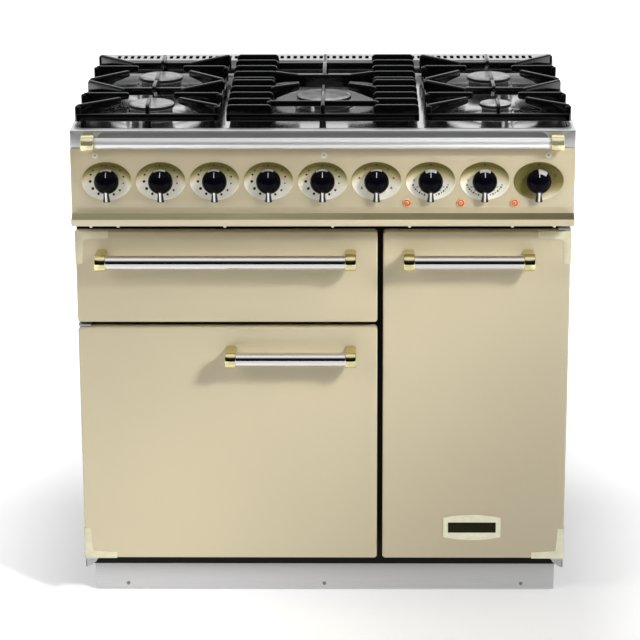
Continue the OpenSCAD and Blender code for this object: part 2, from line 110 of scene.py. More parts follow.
def bump(nt, fac, strength, dist, bsdf, prev=None):
    b = nt.nodes.new("ShaderNodeBump")
    b.inputs["Strength"].default_value = strength
    b.inputs["Distance"].default_value = dist
    lk(nt, fac, b.inputs["Height"])
    if prev is not None:
        lk(nt, prev, b.inputs["Normal"])
    lk(nt, b.outputs["Normal"], bsdf.inputs["Normal"])
    return b.outputs["Normal"]

def tint(c, k):
    return tuple(max(0.0, min(1.0, x * k)) for x in c)

def enamel(name, c, r0=0.2, r1=0.3, coat=0.5, var=0.04, wave=0.03, peel=0.05):
    """Vitreous enamel: faint mottling, slight orange peel and a long soft waviness under a clear gloss."""
    mt, nt, b = new_mat(name)
    v = coords(nt)
    n1 = noise(nt, v, 3.0, 2)
    n2 = noise(nt, v, 900, 2)
    lk(nt, ramp(nt, n1, [(0.3, tint(c, 1 - var)), (0.7, tint(c, 1 + var))]), b.inputs["Base Color"])
    lk(nt, maprange(nt, n1, r0, r1), b.inputs["Roughness"])
    p = bump(nt, noise(nt, v, 9, 1), wave, 0.002, b)
    bump(nt, n2, peel, 0.0002, b, p)
    b.inputs["Coat Weight"].default_value = coat
    b.inputs["Coat Roughness"].default_value = 0.06
    b.inputs["Specular IOR Level"].default_value = 0.5
    return mt

def metal(name, c, r0, r1, grain=(1, 1, 1), gscale=300.0, strength=0.02, var=0.05, dist=0.0002, aniso=0.0, big=6.0, metallic=1.0):
    """Metal with a directional grain: colour, roughness and bump all follow the stretched noise."""
    mt, nt, b = new_mat(name)
    v = coords(nt, grain)
    g = noise(nt, v, gscale, 4, 0.6)
    lo = noise(nt, coords(nt), big, 2)
    lk(nt, ramp(nt, g, [(0.25, tint(c, 1 - var)), (0.75, tint(c, 1 + var))]), b.inputs["Base Color"])
    mix = nt.nodes.new("ShaderNodeMath")
    mix.operation = "ADD"
    lk(nt, maprange(nt, g, 0, (r1 - r0) * 0.6), mix.inputs[0])
    lk(nt, maprange(nt, lo, r0, r0 + (r1 - r0) * 0.4), mix.inputs[1])
    lk(nt, mix.outputs[0], b.inputs["Roughness"])
    bump(nt, g, strength, dist, b)
    b.inputs["Metallic"].default_value = metallic
    b.inputs["Anisotropic"].default_value = aniso
    return mt

def speckled(name, c, spot, r=0.3):
    """Dark oven enamel with fine pale specks."""
    mt, nt, b = new_mat(name)
    v = coords(nt)
    n = noise(nt, v, 700, 1, 0.4)
    lk(nt, ramp(nt, n, [(0.0, c), (0.66, c), (0.70, spot), (1.0, spot)]), b.inputs["Base Color"])
    lk(nt, maprange(nt, noise(nt, v, 12, 3), r * 0.7, r * 1.3), b.inputs["Roughness"])
    bump(nt, noise(nt, v, 250, 2), 0.05, 0.0003, b)
    b.inputs["Coat Weight"].default_value = 0.3
    b.inputs["Coat Roughness"].default_value = 0.12
    return mt

def cast(name, c, r0, r1, strength=0.25, coat=0.6):
    """Enamelled casting: pebbled surface under a gloss."""
    mt, nt, b = new_mat(name)
    v = coords(nt)
    n = noise(nt, v, 420, 3, 0.55)
    lk(nt, ramp(nt, noise(nt, v, 60, 3), [(0.3, tint(c, 0.75)), (0.7, tint(c, 1.3))]), b.inputs["Base Color"])
    lk(nt, maprange(nt, n, r0, r1), b.inputs["Roughness"])
    bump(nt, n, strength, 0.0004, b)
    b.inputs["Coat Weight"].default_value = coat
    b.inputs["Coat Roughness"].default_value = 0.1
    return mt

def plastic(name, c, r0, r1, strength=0.02, coat=0.0):
    mt, nt, b = new_mat(name)
    v = coords(nt)
    n = noise(nt, v, 500, 2)
    lk(nt, ramp(nt, noise(nt, v, 40, 2), [(0.3, tint(c, 0.92)), (0.7, tint(c, 1.08))]), b.inputs["Base Color"])
    lk(nt, maprange(nt, n, r0, r1), b.inputs["Roughness"])
    bump(nt, n, strength, 0.0002, b)
    b.inputs["Coat Weight"].default_value = coat
    b.inputs["Coat Roughness"].default_value = 0.04
    return mt

def painted_light_strip_mat(name, stops):
    """Moulded strip under the controls: satin, with painted shade and reflection toned from its left end to its right
    end.
    """
    mt, nt, b = new_mat(name)
    tc = nt.nodes.new("ShaderNodeTexCoord")
    sp = nt.nodes.new("ShaderNodeSeparateXYZ")
    lk(nt, tc.outputs["Object"], sp.inputs[0])
    g = noise(nt, coords(nt, (0.02, 1, 1)), 300, 3, 0.6)
    ad = nt.nodes.new("ShaderNodeMath")
    ad.operation = "MULTIPLY_ADD"
    lk(nt, g, ad.inputs[0])
    ad.inputs[1].default_value = 0.10
    lk(nt, maprange(nt, sp.outputs["X"], 0.0, 0.9, -0.45, 0.45), ad.inputs[2])
    lk(nt, ramp(nt, ad.outputs[0], stops), b.inputs["Base Color"])
    lk(nt, maprange(nt, g, 0.30, 0.42), b.inputs["Roughness"])
    bump(nt, g, 0.01, 0.0002, b)
    b.inputs["Specular IOR Level"].default_value = 0.3
    return mt

CREAM = (0.60, 0.522, 0.352)
M = {
    "cream": enamel("cream_enamel", CREAM, 0.14, 0.22, 0.35, 0.015),
    "black_enamel": enamel("black_enamel", (0.005, 0.005, 0.004), 0.3, 0.45, 0.1),
    "oven": speckled("oven_enamel", (0.022, 0.023, 0.028), (0.14, 0.15, 0.17)),
    "liner": speckled("door_liner_enamel", (0.016, 0.016, 0.018), (0.06, 0.06, 0.065), 0.25),
    "casing": cast("casing_coat", (0.022, 0.022, 0.024), 0.35, 0.5, 0.15, 0.0),
    "zinc": metal("zinc_sheet", (0.55, 0.56, 0.57), 0.32, 0.5, (1, 1, 1), 35, 0.03, 0.12),
    "steel": metal("hob_band_steel", (0.85, 0.85, 0.855), 0.36, 0.48, (0.03, 1, 1), 700, 0.03, 0.05, 0.0002, 0.0, 6.0, 0.88),
    "recess": metal("recess_steel_painted_shade", (0.37, 0.37, 0.375), 0.30, 0.42, (0.03, 1, 1), 700, 0.03, 0.05, 0.0002, 0.0, 6.0, 0.7),
    "tray": metal("hob_tray_steel", (0.58, 0.58, 0.585), 0.10, 0.18, (1, 1, 1), 45, 0.012, 0.05, 0.001, 0.0, 4.0),
    "trim": metal("flue_trim_steel", (0.87, 0.87, 0.87), 0.36, 0.48, (0.05, 1, 1), 500, 0.03, 0.05, 0.0002, 0.0, 6.0, 0.6),
    "base": cast("burner_base_enamel", (0.012, 0.012, 0.012), 0.22, 0.34, 0.05, 0.3),
    "plinth": metal("plinth_steel", (0.59, 0.59, 0.595), 0.34, 0.46, (0.02, 1, 1), 900, 0.03, 0.05, 0.0002, 0.0, 3.0, 0.88),
    "rail": metal("rail_steel", (0.84, 0.84, 0.845), 0.14, 0.22, (0.02, 1, 1), 900, 0.015, 0.04, 0.0002, 0.0, 3.0, 0.45),
    "rail_brass": metal("rail_bracket_brass", (0.88, 0.81, 0.50), 0.15, 0.22, (0.2, 1, 1), 300, 0.01, 0.04, 0.0002, 0.0, 6.0, 0.75),
    "chrome": metal("polished_chrome", (0.80, 0.80, 0.805), 0.09, 0.13, (0.05, 1, 1), 500, 0.008, 0.02),
    "brass": metal("polished_brass", (0.78, 0.71, 0.40), 0.06, 0.10, (0.2, 1, 1), 300, 0.01, 0.04),
    "cap_brass": plastic("corner_cap_finish", (0.69, 0.65, 0.46), 0.25, 0.35, 0.01, 0.4),
    "plate": plastic("badge_plate_finish", (0.95, 0.905, 0.67), 0.25, 0.35, 0.01, 0.4),
    "inset": plastic("badge_inset_finish", (0.016, 0.013, 0.004), 0.5, 0.6, 0.01, 0.0),
    "grate": cast("grate_enamel", (0.0024, 0.0024, 0.0026), 0.12, 0.20, 0.08, 0.0),
    "alloy": metal("burner_alloy", (0.46, 0.46, 0.47), 0.30, 0.44, (1, 1, 1), 260, 0.10, 0.08),
    "cap": cast("burner_cap_enamel", (0.68, 0.68, 0.68), 0.26, 0.36, 0.08, 0.2),
    "rim": cast("burner_cap_rim", (0.015, 0.015, 0.015), 0.3, 0.45, 0.12, 0.1),
    "knob": plastic("knob_black", (0.0022, 0.0021, 0.0042), 0.05, 0.08, 0.005, 0.0),
    "mark_white": plastic("mark_white", (0.80, 0.80, 0.77), 0.3, 0.4),
    "mark_black": plastic("mark_black", (0.02, 0.02, 0.02), 0.35, 0.5),
    "mark_olive": plastic("mark_olive", (0.055, 0.045, 0.02), 0.35, 0.5),
    "dark_plastic": plastic("dark_plastic", (0.03, 0.03, 0.032), 0.4, 0.55),
    "valve": metal("valve_brass", (0.66, 0.52, 0.26), 0.25, 0.4, (1, 1, 1), 200, 0.05, 0.08),
    "element": metal("element_sheath", (0.16, 0.13, 0.12), 0.45, 0.6, (1, 1, 1), 150, 0.1, 0.25),
    "wire": metal("shelf_wire", (0.68, 0.68, 0.69), 0.16, 0.28, (1, 1, 1), 300, 0.02, 0.04),
    "slot_black": plastic("flue_painted_shade_sheet", (0.004, 0.004, 0.004), 0.6, 0.8, 0.1, 0.0),
    "seal": plastic("seal_rubber", (0.02, 0.02, 0.02), 0.6, 0.8, 0.2),
    "ceramic": plastic("electrode_ceramic", (0.75, 0.74, 0.70), 0.3, 0.45),
    "roller": plastic("roller_nylon", (0.03, 0.03, 0.03), 0.4, 0.6),
    "fan": metal("fan_sheet", (0.5, 0.5, 0.5), 0.35, 0.5, (1, 1, 1), 80, 0.03, 0.08),
    "screw": metal("screw_satin", (0.84, 0.81, 0.70), 0.36, 0.46, (1, 1, 1), 400, 0.01, 0.03, 0.0002, 0.0, 6.0, 0.4),
    "screw_slot": metal("screw_painted_shade", (0.30, 0.28, 0.22), 0.4, 0.5, (1, 1, 1), 400, 0.01, 0.03),
    "pointer_flank_reflection": metal("pointer_painted_dark_reflection", (0.045, 0.043, 0.045), 0.16, 0.24, (1, 1, 0.05), 500, 0.008, 0.03),
    "index": plastic("knob_painted_highlight", (0.52, 0.52, 0.53), 0.28, 0.36, 0.01, 0.2),
    # painted shade: the cove strip is a dark olive stand-in for shade and reflection; the lip is a paler cream whose
    # painted light falls off to the right
    "cove": painted_light_strip_mat("cove_strip_painted_shade", [(0.0, (0.36, 0.33, 0.20)), (0.38, (0.35, 0.32, 0.195)), (0.58, (0.20, 0.18, 0.10)), (0.95, (0.11, 0.097, 0.05))]),
    "lip": painted_light_strip_mat("lip_enamel_painted_light", [(0.0, (0.80, 0.73, 0.54)), (0.45, (0.70, 0.62, 0.44)), (0.8, (0.55, 0.485, 0.33)), (1.0, (0.54, 0.475, 0.32))]),
}
for k_, q_ in (("black_enamel", 0.12), ("inset", 0.12), ("base", 0.12), ("slot_black", 0.0)):
    M[k_].node_tree.nodes["Principled BSDF"].inputs["Specular IOR Level"].default_value = q_
M["black_enamel"].node_tree.nodes["Principled BSDF"].inputs["Coat Weight"].default_value = 0.0
M["knob"].node_tree.nodes["Principled BSDF"].inputs["Specular IOR Level"].default_value = 0.06
M["grate"].node_tree.nodes["Principled BSDF"].inputs["Specular IOR Level"].default_value = 0.5

def bezel_painted_shading_mat(name, stops, ax=0.0, bias=0.0, inner=0.36):
    """Champagne plate with painted shading: an olive shade round the top of each oval grades to a pale lit tone at its
    foot; finely brushed along x.
    """
    mt, nt, b = new_mat(name)
    def m_(op, *args):
        n = nt.nodes.new("ShaderNodeMath")
        n.operation = op
        for k, q in enumerate(args):
            if isinstance(q, (int, float)):
                n.inputs[k].default_value = q
            else:
                lk(nt, q, n.inputs[k])
        return n.outputs[0]
    tc = nt.nodes.new("ShaderNodeTexCoord")
    sp = nt.nodes.new("ShaderNodeSeparateXYZ")
    lk(nt, tc.outputs["Object"], sp.inputs[0])
    g = noise(nt, coords(nt, (0.06, 1, 1)), 900, 3, 0.6)
    z = maprange(nt, sp.outputs["Z"], bias, 1.0 + bias, 0.7858, 0.8522)
    if ax:
        # painted reflection: the tone pales towards the plate's right side
        z = m_("MULTIPLY_ADD", maprange(nt, sp.outputs["X"], 0.0, 1.0, 0.341, 0.430), ax, z)
    else:
        # painted shading: towards the knob the tone is paler than at the rim of the same height
        rx = m_("DIVIDE", m_("WRAP", sp.outputs["X"], 0.0482, -0.0482), 0.0425)
        rz = m_("DIVIDE", m_("SUBTRACT", sp.outputs["Z"], 0.819), 0.0332)
        r2 = m_("MINIMUM", m_("ADD", m_("MULTIPLY", rx, rx), m_("MULTIPLY", rz, rz)), 1.0)
        z = m_("MULTIPLY", z, m_("MULTIPLY_ADD", r2, inner, 1.0 - inner))
        # painted shade: a little darker towards each plate's right side
        z = m_("MULTIPLY_ADD", rx, 0.03, z)
    z = m_("MULTIPLY_ADD", g, 0.08, z)
    lk(nt, ramp(nt, z, stops), b.inputs["Base Color"])
    lk(nt, maprange(nt, g, 0.30, 0.42), b.inputs["Roughness"])
    bump(nt, g, 0.02, 0.0002, b)
    b.inputs["Specular IOR Level"].default_value = 0.22
    return mt
M["bezel"] = bezel_painted_shading_mat("bezel_plate_painted_shading", [(0.0, (1.0, 0.975, 0.87)), (0.40, (1.0, 0.955, 0.80)), (0.54, (0.72, 0.64, 0.40)), (0.67, (0.33, 0.285, 0.115)), (0.84, (0.15, 0.128, 0.036))])
# darker copy for the ninth plate: painted shade and reflection, graded along x as well as by height
M["bezel_dark"] = bezel_painted_shading_mat("bezel_plate_dark_painted_shading", [(0.0, (0.97, 0.92, 0.76)), (0.16, (0.94, 0.87, 0.66)), (0.34, (0.46, 0.395, 0.18)), (0.50, (0.23, 0.195, 0.06)), (1.0, (0.135, 0.115, 0.034))], -0.45, 0.4)

def neon_mat(name, c1, c2):
    mt, nt, b = new_mat(name)
    v = coords(nt)
    lk(nt, ramp(nt, noise(nt, v, 260, 2), [(0.3, c1), (0.7, c2)]), b.inputs["Base Color"])
    lk(nt, maprange(nt, noise(nt, v, 500, 2), 0.14, 0.25), b.inputs["Roughness"])
    b.inputs["Coat Weight"].default_value = 0.4
    return mt
M["neon"] = neon_mat("neon_amber", (0.82, 0.33, 0.14), (0.94, 0.45, 0.24))
M["neon_deep"] = neon_mat("neon_amber_deep", (0.46, 0.13, 0.04), (0.58, 0.18, 0.06))

CAD_MAT = {
    "chassis": "black_enamel", "side_panels": "casing", "back_panel": "zinc", "left_oven_liner": "oven", "right_oven_liner": "oven",
    "grill_liner": "oven", "hob_top": "steel", "flue_trim": "trim", "control_fascia": "cream", "knob_bezels": "bezel", "handrail": "chrome",
    "handrail_brackets": "brass", "plinth": "plinth", "burner_heads": "alloy", "burner_caps": "cap", "gas_manifold": "valve",
    "oven_switches": "dark_plastic", "heating_elements": "element", "oven_shelves": "wire", "fan_housings": "oven", "neon_lamps": "neon",
    "screws": "screw", "door_hinges": "zinc", "oven_seals": "seal", "left_door_panel": "cream", "right_door_panel": "cream",
    "left_door_liner": "liner", "right_door_liner": "liner", "grill_front": "cream", "left_door_handle": "chrome", "right_door_handle": "chrome",
    "grill_front_handle": "chrome", "left_door_fittings": "brass", "right_door_fittings": "brass", "grill_front_fittings": "brass",
    "grill_carriage": "zinc", "grill_pan": "oven", "grill_trivet": "wire", "grill_slide_members": "zinc", "left_oven_fan": "fan",
    "right_oven_fan": "fan", "rear_rollers": "roller", "levelling_feet": "zinc", "pan_support_left": "grate", "pan_support_centre": "grate",
    "pan_support_right": "grate",
}
for n, o in NODES.items():
    key = CAD_MAT.get(n) or ("knob" if "knob" in n else "valve")
    o.data.materials.clear()
    o.data.materials.append(M[key])

# ------------------------------------------------------------------ mesh helpers (millimetres in, metres out)
class Mesh:
    def __init__(self):
        self.v, self.f, self.mi = [], [], []
    def add(self, verts, faces, mi=0):
        k = len(self.v)
        self.v += [tuple(p) for p in verts]
        self.f += [[i + k for i in f] for f in faces]
        self.mi += [mi] * len(faces)
    def box(self, a, b, mi=0):
        x0, y0, z0 = a
        x1, y1, z1 = b
        v = [(x0, y0, z0), (x1, y0, z0), (x1, y1, z0), (x0, y1, z0), (x0, y0, z1), (x1, y0, z1), (x1, y1, z1), (x0, y1, z1)]
        self.add(v, [(0, 3, 2, 1), (4, 5, 6, 7), (0, 1, 5, 4), (1, 2, 6, 5), (2, 3, 7, 6), (3, 0, 4, 7)], mi)
    def loft(self, rings, close_a=True, close_b=True, mi=0, mis=None):
        """Rings of equal length joined one after another; mis gives a material per band."""
        n = len(rings[0])
        k = len(self.v)
        for r in rings:
            self.v += [tuple(p) for p in r]
        for j in range(len(rings) - 1):
            for i in range(n):
                a, b = k + j * n + i, k + j * n + (i + 1) % n
                self.f.append([a, b, b + n, a + n])
                self.mi.append(mis[j] if mis else mi)
        if close_a:
            self.f.append([k + i for i in reversed(range(n))])
            self.mi.append(mis[0] if mis else mi)
        if close_b:
            self.f.append([k + (len(rings) - 1) * n + i for i in range(n)])
            self.mi.append(mis[-1] if mis else mi)
    def lathe(self, prof, origin, axis, n=48, mi=0, mis=None, wobble=None):
        """prof is [(radius, distance along axis)], closed at both ends by its own caps."""
        rings = []
        for j, (r, t) in enumerate(prof):
            ring = []
            for i in range(n):
                a = 2 * math.pi * i / n
                rr = r if wobble is None else wobble(j, a, r)
                u, w = rr * math.cos(a), rr * math.sin(a)
                if axis == "x":
                    ring.append((origin[0] + t, origin[1] + u, origin[2] + w))
                elif axis == "y":
                    ring.append((origin[0] + w, origin[1] + t, origin[2] + u))
                else:
                    ring.append((origin[0] + u, origin[1] + w, origin[2] + t))
            rings.append(ring)
        self.loft(rings, True, True, mi, mis)
    def prism(self, poly, lo, hi, axis="x", mi=0):
        """Flat outline extruded between lo and hi. For axis x the outline is (y, z), for y it is (x, z), for z it is (x, y)."""
        def p3(p, t):
            return {"x": (t, p[0], p[1]), "y": (p[0], t, p[1]), "z": (p[0], p[1], t)}[axis]
        self.loft([[p3(p, lo) for p in poly], [p3(p, hi) for p in poly]], True, True, mi)
    def make(self, name, body, mats, slot=None, smooth=35, bevel=0.0, segs=3, ang=40, replaces=()):
        me = bpy.data.meshes.new(name)
        me.from_pydata([(x * S, y * S, z * S) for x, y, z in self.v], [], self.f)
        for mt in ([mats] if isinstance(mats, str) else mats):
            me.materials.append(M[mt])
        me.polygons.foreach_set("material_index", self.mi)
        bm = bmesh.new()
        bm.from_mesh(me)
        bmesh.ops.recalc_face_normals(bm, faces=bm.faces)
        bm.to_mesh(me)
        bm.free()
        me.update()
        o = bpy.data.objects.new(name, me)
        bpy.context.scene.collection.objects.link(o)
        if bevel:
            md = o.modifiers.new("bevel", "BEVEL")
            md.width = bevel * S
            md.segments = segs
            md.limit_method = "ANGLE"
            md.angle_limit = rad(ang)
            bake(o)
            me = o.data
        me.polygons.foreach_set("use_smooth", [True] * len(me.polygons))
        me.set_sharp_from_angle(angle=rad(smooth))
        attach(o, body)
        for r in replaces:
            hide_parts(r)
        return o

def bake(o):
    """Applies the modifiers of an object that isn't parented yet."""
    bpy.context.view_layer.update()
    dg = bpy.context.evaluated_depsgraph_get()
    me = bpy.data.meshes.new_from_object(o.evaluated_get(dg))
    o.modifiers.clear()
    old = o.data
    o.data = me
    if old.users == 0:
        bpy.data.meshes.remove(old)

def rrect(x0, x1, z0, z1, r, n=8, flip=False):
    """Rounded rectangle outline, counter-clockwise, n points to each corner."""
    pts = []
    for cxx, czz, a0 in ((x1 - r, z1 - r, 0), (x0 + r, z1 - r, 90), (x0 + r, z0 + r, 180), (x1 - r, z0 + r, 270)):
        for i in range(n):
            a = rad(a0 + 90 * i / (n - 1))
            pts.append((cxx + r * math.cos(a), czz + r * math.sin(a)))
    return pts

def rring(x0, x1, z0, z1, r, y, inset=0.0, n=8):
    return [(x, y, z) for x, z in rrect(x0 + inset, x1 - inset, z0 + inset, z1 - inset, max(r - inset, 0.4), n)]

# ------------------------------------------------------------------ shared numbers of the frame, in millimetres
YF, YL, YFR, YCUT = -271.0, -229.0, -226.0, -293.0
HY, RY = -308.0, -309.0
KX = [(i - 4) * 96.4 for i in range(9)]
KZ = 819.0
BURN = [(-315, -129, 42, 928), (-315, 109, 42, 928), (0, -23, 51, 920), (315, 109, 42, 928), (315, -129, 29, 928)]
DOORS = [("grill_front", "grill_drawer", -448, 99, 548, 719), ("left_door_panel", "left_door", -448, 99, 85, 538),
         ("right_door_panel", "right_door", 109, 448, 85, 719)]

# ------------------------------------------------------------------ door skins and inner panels
def door_skin(node, body, x0, x1, z0, z1):
    g = Mesh()
    rings = [rring(x0, x1, z0, z1, 6, YF + 21.5, 1.6), rring(x0, x1, z0, z1, 6, YF + 22, 0.6), rring(x0, x1, z0, z1, 6, YF + 21, 0)]
    rings += [rring(x0, x1, z0, z1, 6, YF + 3.2, 0)]
    for i in range(1, 7):
        a = rad(15 * i)
        rings.append(rring(x0, x1, z0, z1, 6, YF + 3.2 - 3.2 * math.sin(a), 3.2 * (1 - math.cos(a))))
    rings.append(rring(x0, x1, z0, z1, 6, YF - 0.02, 12))
    g.loft(list(reversed(rings)), True, False)
    inner = [rring(x0, x1, z0, z1, 6, YF + 21.5, 1.6), rring(x0, x1, z0, z1, 6, YF + 2.2, 1.6)]
    g.loft(inner, False, True)
    o = g.make(node + "_skin", body, "cream", "cream_enamel", 30, replaces=[node])
    return o

def weld(o, d=0.00001):
    bm = bmesh.new()
    bm.from_mesh(o.data)
    bmesh.ops.remove_doubles(bm, verts=bm.verts, dist=d)
    bmesh.ops.recalc_face_normals(bm, faces=bm.faces)
    bm.to_mesh(o.data)
    bm.free()

for d in DOORS:
    weld(door_skin(*d))

def inner_panel(node, body, x0, x1, z0, z1, lo=YL - 20, hi=YL):
    """Pressed inner door panel with a raised field and rounded edges."""
    a = (x0 + 8, x1 - 8, z0 + 8, z1 - 8)
    g = Mesh()
    rings = [rring(*a, 14, lo, 0), rring(*a, 14, hi - 4, 0), rring(*a, 14, hi - 1.2, 1.2), rring(*a, 14, hi, 4), rring(*a, 14, hi, 24),
             rring(*a, 14, hi - 1.5, 27), rring(*a, 14, hi - 5, 30), rring(*a, 14, hi - 6, 33), rring(*a, 14, hi - 6, 60),
             rring(*a, 14, hi - 5, 63), rring(*a, 14, hi - 2.5, 67), rring(*a, 14, hi - 2, 72)]
    g.loft(rings, True, True)
    o = g.make(node + "_pressing", body, "liner", "oven_enamel", 50, replaces=[node])
    return o

inner_panel("left_door_liner", "left_door", -448, 99, 85, 538)
inner_panel("right_door_liner", "right_door", 109, 448, 85, 719)

# ------------------------------------------------------------------ corner caps and the bare badge plate
def corner_cap(name, body, x, z, sx, sz, mat="cap_brass"):
    """L-shaped cap: arms taper a little and meet in a small fillet."""
    L, w0, w1 = 60, 14.5, 12.0
    pts = [(0, 0), (L, 0), (L, w1)]
    r = 5.0
    c = (w0 + r, w0 + r)
    for i in range(7):
        a = rad(270 - 15 * i)
        pts.append((c[0] + r * math.cos(a), c[1] + r * math.sin(a)))
    pts += [(w1, L), (0, L)]
    pts[0] = (2.0, 0)
    pts.append((0, 2.0))
    poly = [(x + sx * a, z + sz * b) for a, b in pts]
    g = Mesh()
    g.prism(poly, YF - 0.9, YF + 0.3, "y")
    # wrap-round flanges on the door's edge
    e = 0.7
    xo, zo = x - sx * e, z - sz * e
    g.box((min(xo, x), YF - 0.4, min(z, z + sz * L)), (max(xo, x), YF + 14, max(z, z + sz * L)))
    g.box((min(x, x + sx * L), YF - 0.4, min(zo, z)), (max(x, x + sx * L), YF + 14, max(zo, z)))
    return g.make(name, body, mat, "brass", 30, bevel=0.35, segs=2)

c1 = corner_cap("grill_corner_cap", "grill_drawer", -448, 719, 1, -1)
c2 = corner_cap("left_door_corner_cap", "left_door", -448, 85, 1, 1)
# painted reflection: the four caps are one finish, but the low right one takes the paler badge-plate tone
c3 = corner_cap("right_door_corner_cap_low", "right_door", 448, 85, -1, 1, "plate")
c4 = corner_cap("right_door_corner_cap_high", "right_door", 448, 719, -1, -1)

def bowed(cx, cz, w, h, bow, inset=0.0, n=17):
    """Outline with straight sides and bowed top and bottom edges."""
    w2, h2 = w / 2 - inset, h / 2 - inset
    pts = []
    for i in range(n):
        t = 1 - 2 * i / (n - 1)
        pts.append((cx + w2 * t, cz + h2 - bow * t * t))
    for i in range(n):
        t = -1 + 2 * i / (n - 1)
        pts.append((cx + w2 * t, cz - h2 + bow * t * t))
    return pts

def badge():
    g = Mesh()
    cx, cz = 276, 147
    rings = []
    for y, i in ((YF + 0.2, 0), (YF - 1.2, 0), (YF - 1.8, 0.8), (YF - 1.8, 3.6), (YF - 1.3, 4.2), (YF - 1.3, 5.0)):
        rings.append([(p[0], y, p[1]) for p in bowed(cx, cz, 107, 51, 6.0, i)])
    g.loft(rings, True, True)
    o = g.make("badge_plate", "right_door", "plate", "brass", 35)
    g2 = Mesh()
    g2.loft([rring(cx - 44.5, cx + 44.5, cz - 10, cz + 10, 0.8, YF - 1.2), rring(cx - 44.5, cx + 44.5, cz - 10, cz + 10, 0.8, YF - 1.75),
             rring(cx - 44.5, cx + 44.5, cz - 10, cz + 10, 0.8, YF - 1.9, 0.3)], True, True)
    g2.make("badge_inset", "right_door", "inset", "knob_plastic", 35)
    g3 = Mesh()
    for dz in (19.5, -19.5):
        g3.lathe([(0.1, 0.2), (1.7, 0.2), (1.7, -0.6), (1.2, -1.1), (0.1, -1.3)], (cx, YF - 1.2, cz + dz), "y", 16)
    g3.make("badge_rivets", "right_door", "plate", "brass", 40)
badge()

# ------------------------------------------------------------------ bar handles
def tube_piece(name, body, x0, x1, y, z, r, node):
    g = Mesh()
    prof = [(r - 2, 0), (r - 0.4, 0), (r, 0.4)] + [(r, t) for t in (x1 - x0 - 0.4,)] + [(r - 0.4, x1 - x0), (r - 2, x1 - x0)]
    rings = []
    g.lathe(prof, (x0, y, z), "x", 64)
    return g.make(name, body, "chrome", "chrome", 40, replaces=[node])

def collar(g, xa, xb, y, z, r, out, groove=0.0, mi=0):
    """Turned collar from xa to xb; out is -1 or 1, the side of its closed end; groove is where a dark line sits."""
    L = xb - xa
    prof = [(0.2, 0), (r - 2.2, 0), (r - 1.4, 0.15), (r - 0.5, 0.6), (r, 1.4)]
    mis = [0, 0, 0, 0]
    if groove:
        c = L * groove
        prof += [(r, c - 1.6), (r - 0.7, c - 1.2), (r - 0.7, c + 1.2), (r, c + 1.6)]
        mis += [0, mi, mi, mi]
    prof += [(r, L - 1.2), (r - 0.35, L - 0.5), (r - 1.0, L), (0.2, L)]
    mis += [0, 0, 0, 0]
    if out > 0:
        prof = [(a, L - t) for a, t in reversed(prof)]
        mis = list(reversed(mis))
    g.lathe(prof, (xa, y, z), "x", 56, 0, mis)

def post(g, xm, y0, y1, z, hx, hz, r=5.0, flare=3.0):
    """Block post that runs back and flares a little where it meets the door."""
    rings = []
    for t, k in ((0, 0), (0.72, 0), (0.82, 0.25), (0.9, 0.6), (0.96, 1.0), (1.0, 1.0)):
        y = y0 + (y1 - y0) * t
        e = flare * k
        rings.append([(p[0], y, p[1]) for p in rrect(xm - hx - e * 0.6, xm + hx + e * 0.6, z - hz - e * 0.5, z + hz + e * 0.5, r, 7)])
    g.loft(rings, True, True)

def handle(tag, body, x0, x1, z, node, fit):
    tube_piece(tag + "_handle_tube", body, x0 + 6, x1 - 6, HY, z, 12.5, node)
    g = Mesh()
    collar(g, x0, x0 + 20, HY, z, 16, -1)
    collar(g, x1 - 20, x1, HY, z, 16, 1)
    post(g, x0 + 10, HY + 2, YF, z, 8.6, 12.5)
    post(g, x1 - 10, HY + 2, YF, z, 8.6, 12.5)
    o = g.make(tag + "_handle_brackets", body, "brass", "brass", 35)
    return o

h1 = handle("grill", "grill_drawer", -410, 60, 672, "grill_front_handle", None)
h2 = handle("left_door", "left_door", -178, 60, 489, "left_door_handle", None)
h3 = handle("right_door", "right_door", 145, 381, 672, "right_door_handle", None)
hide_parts("grill_front_fittings")
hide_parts("left_door_fittings")
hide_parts("right_door_fittings")

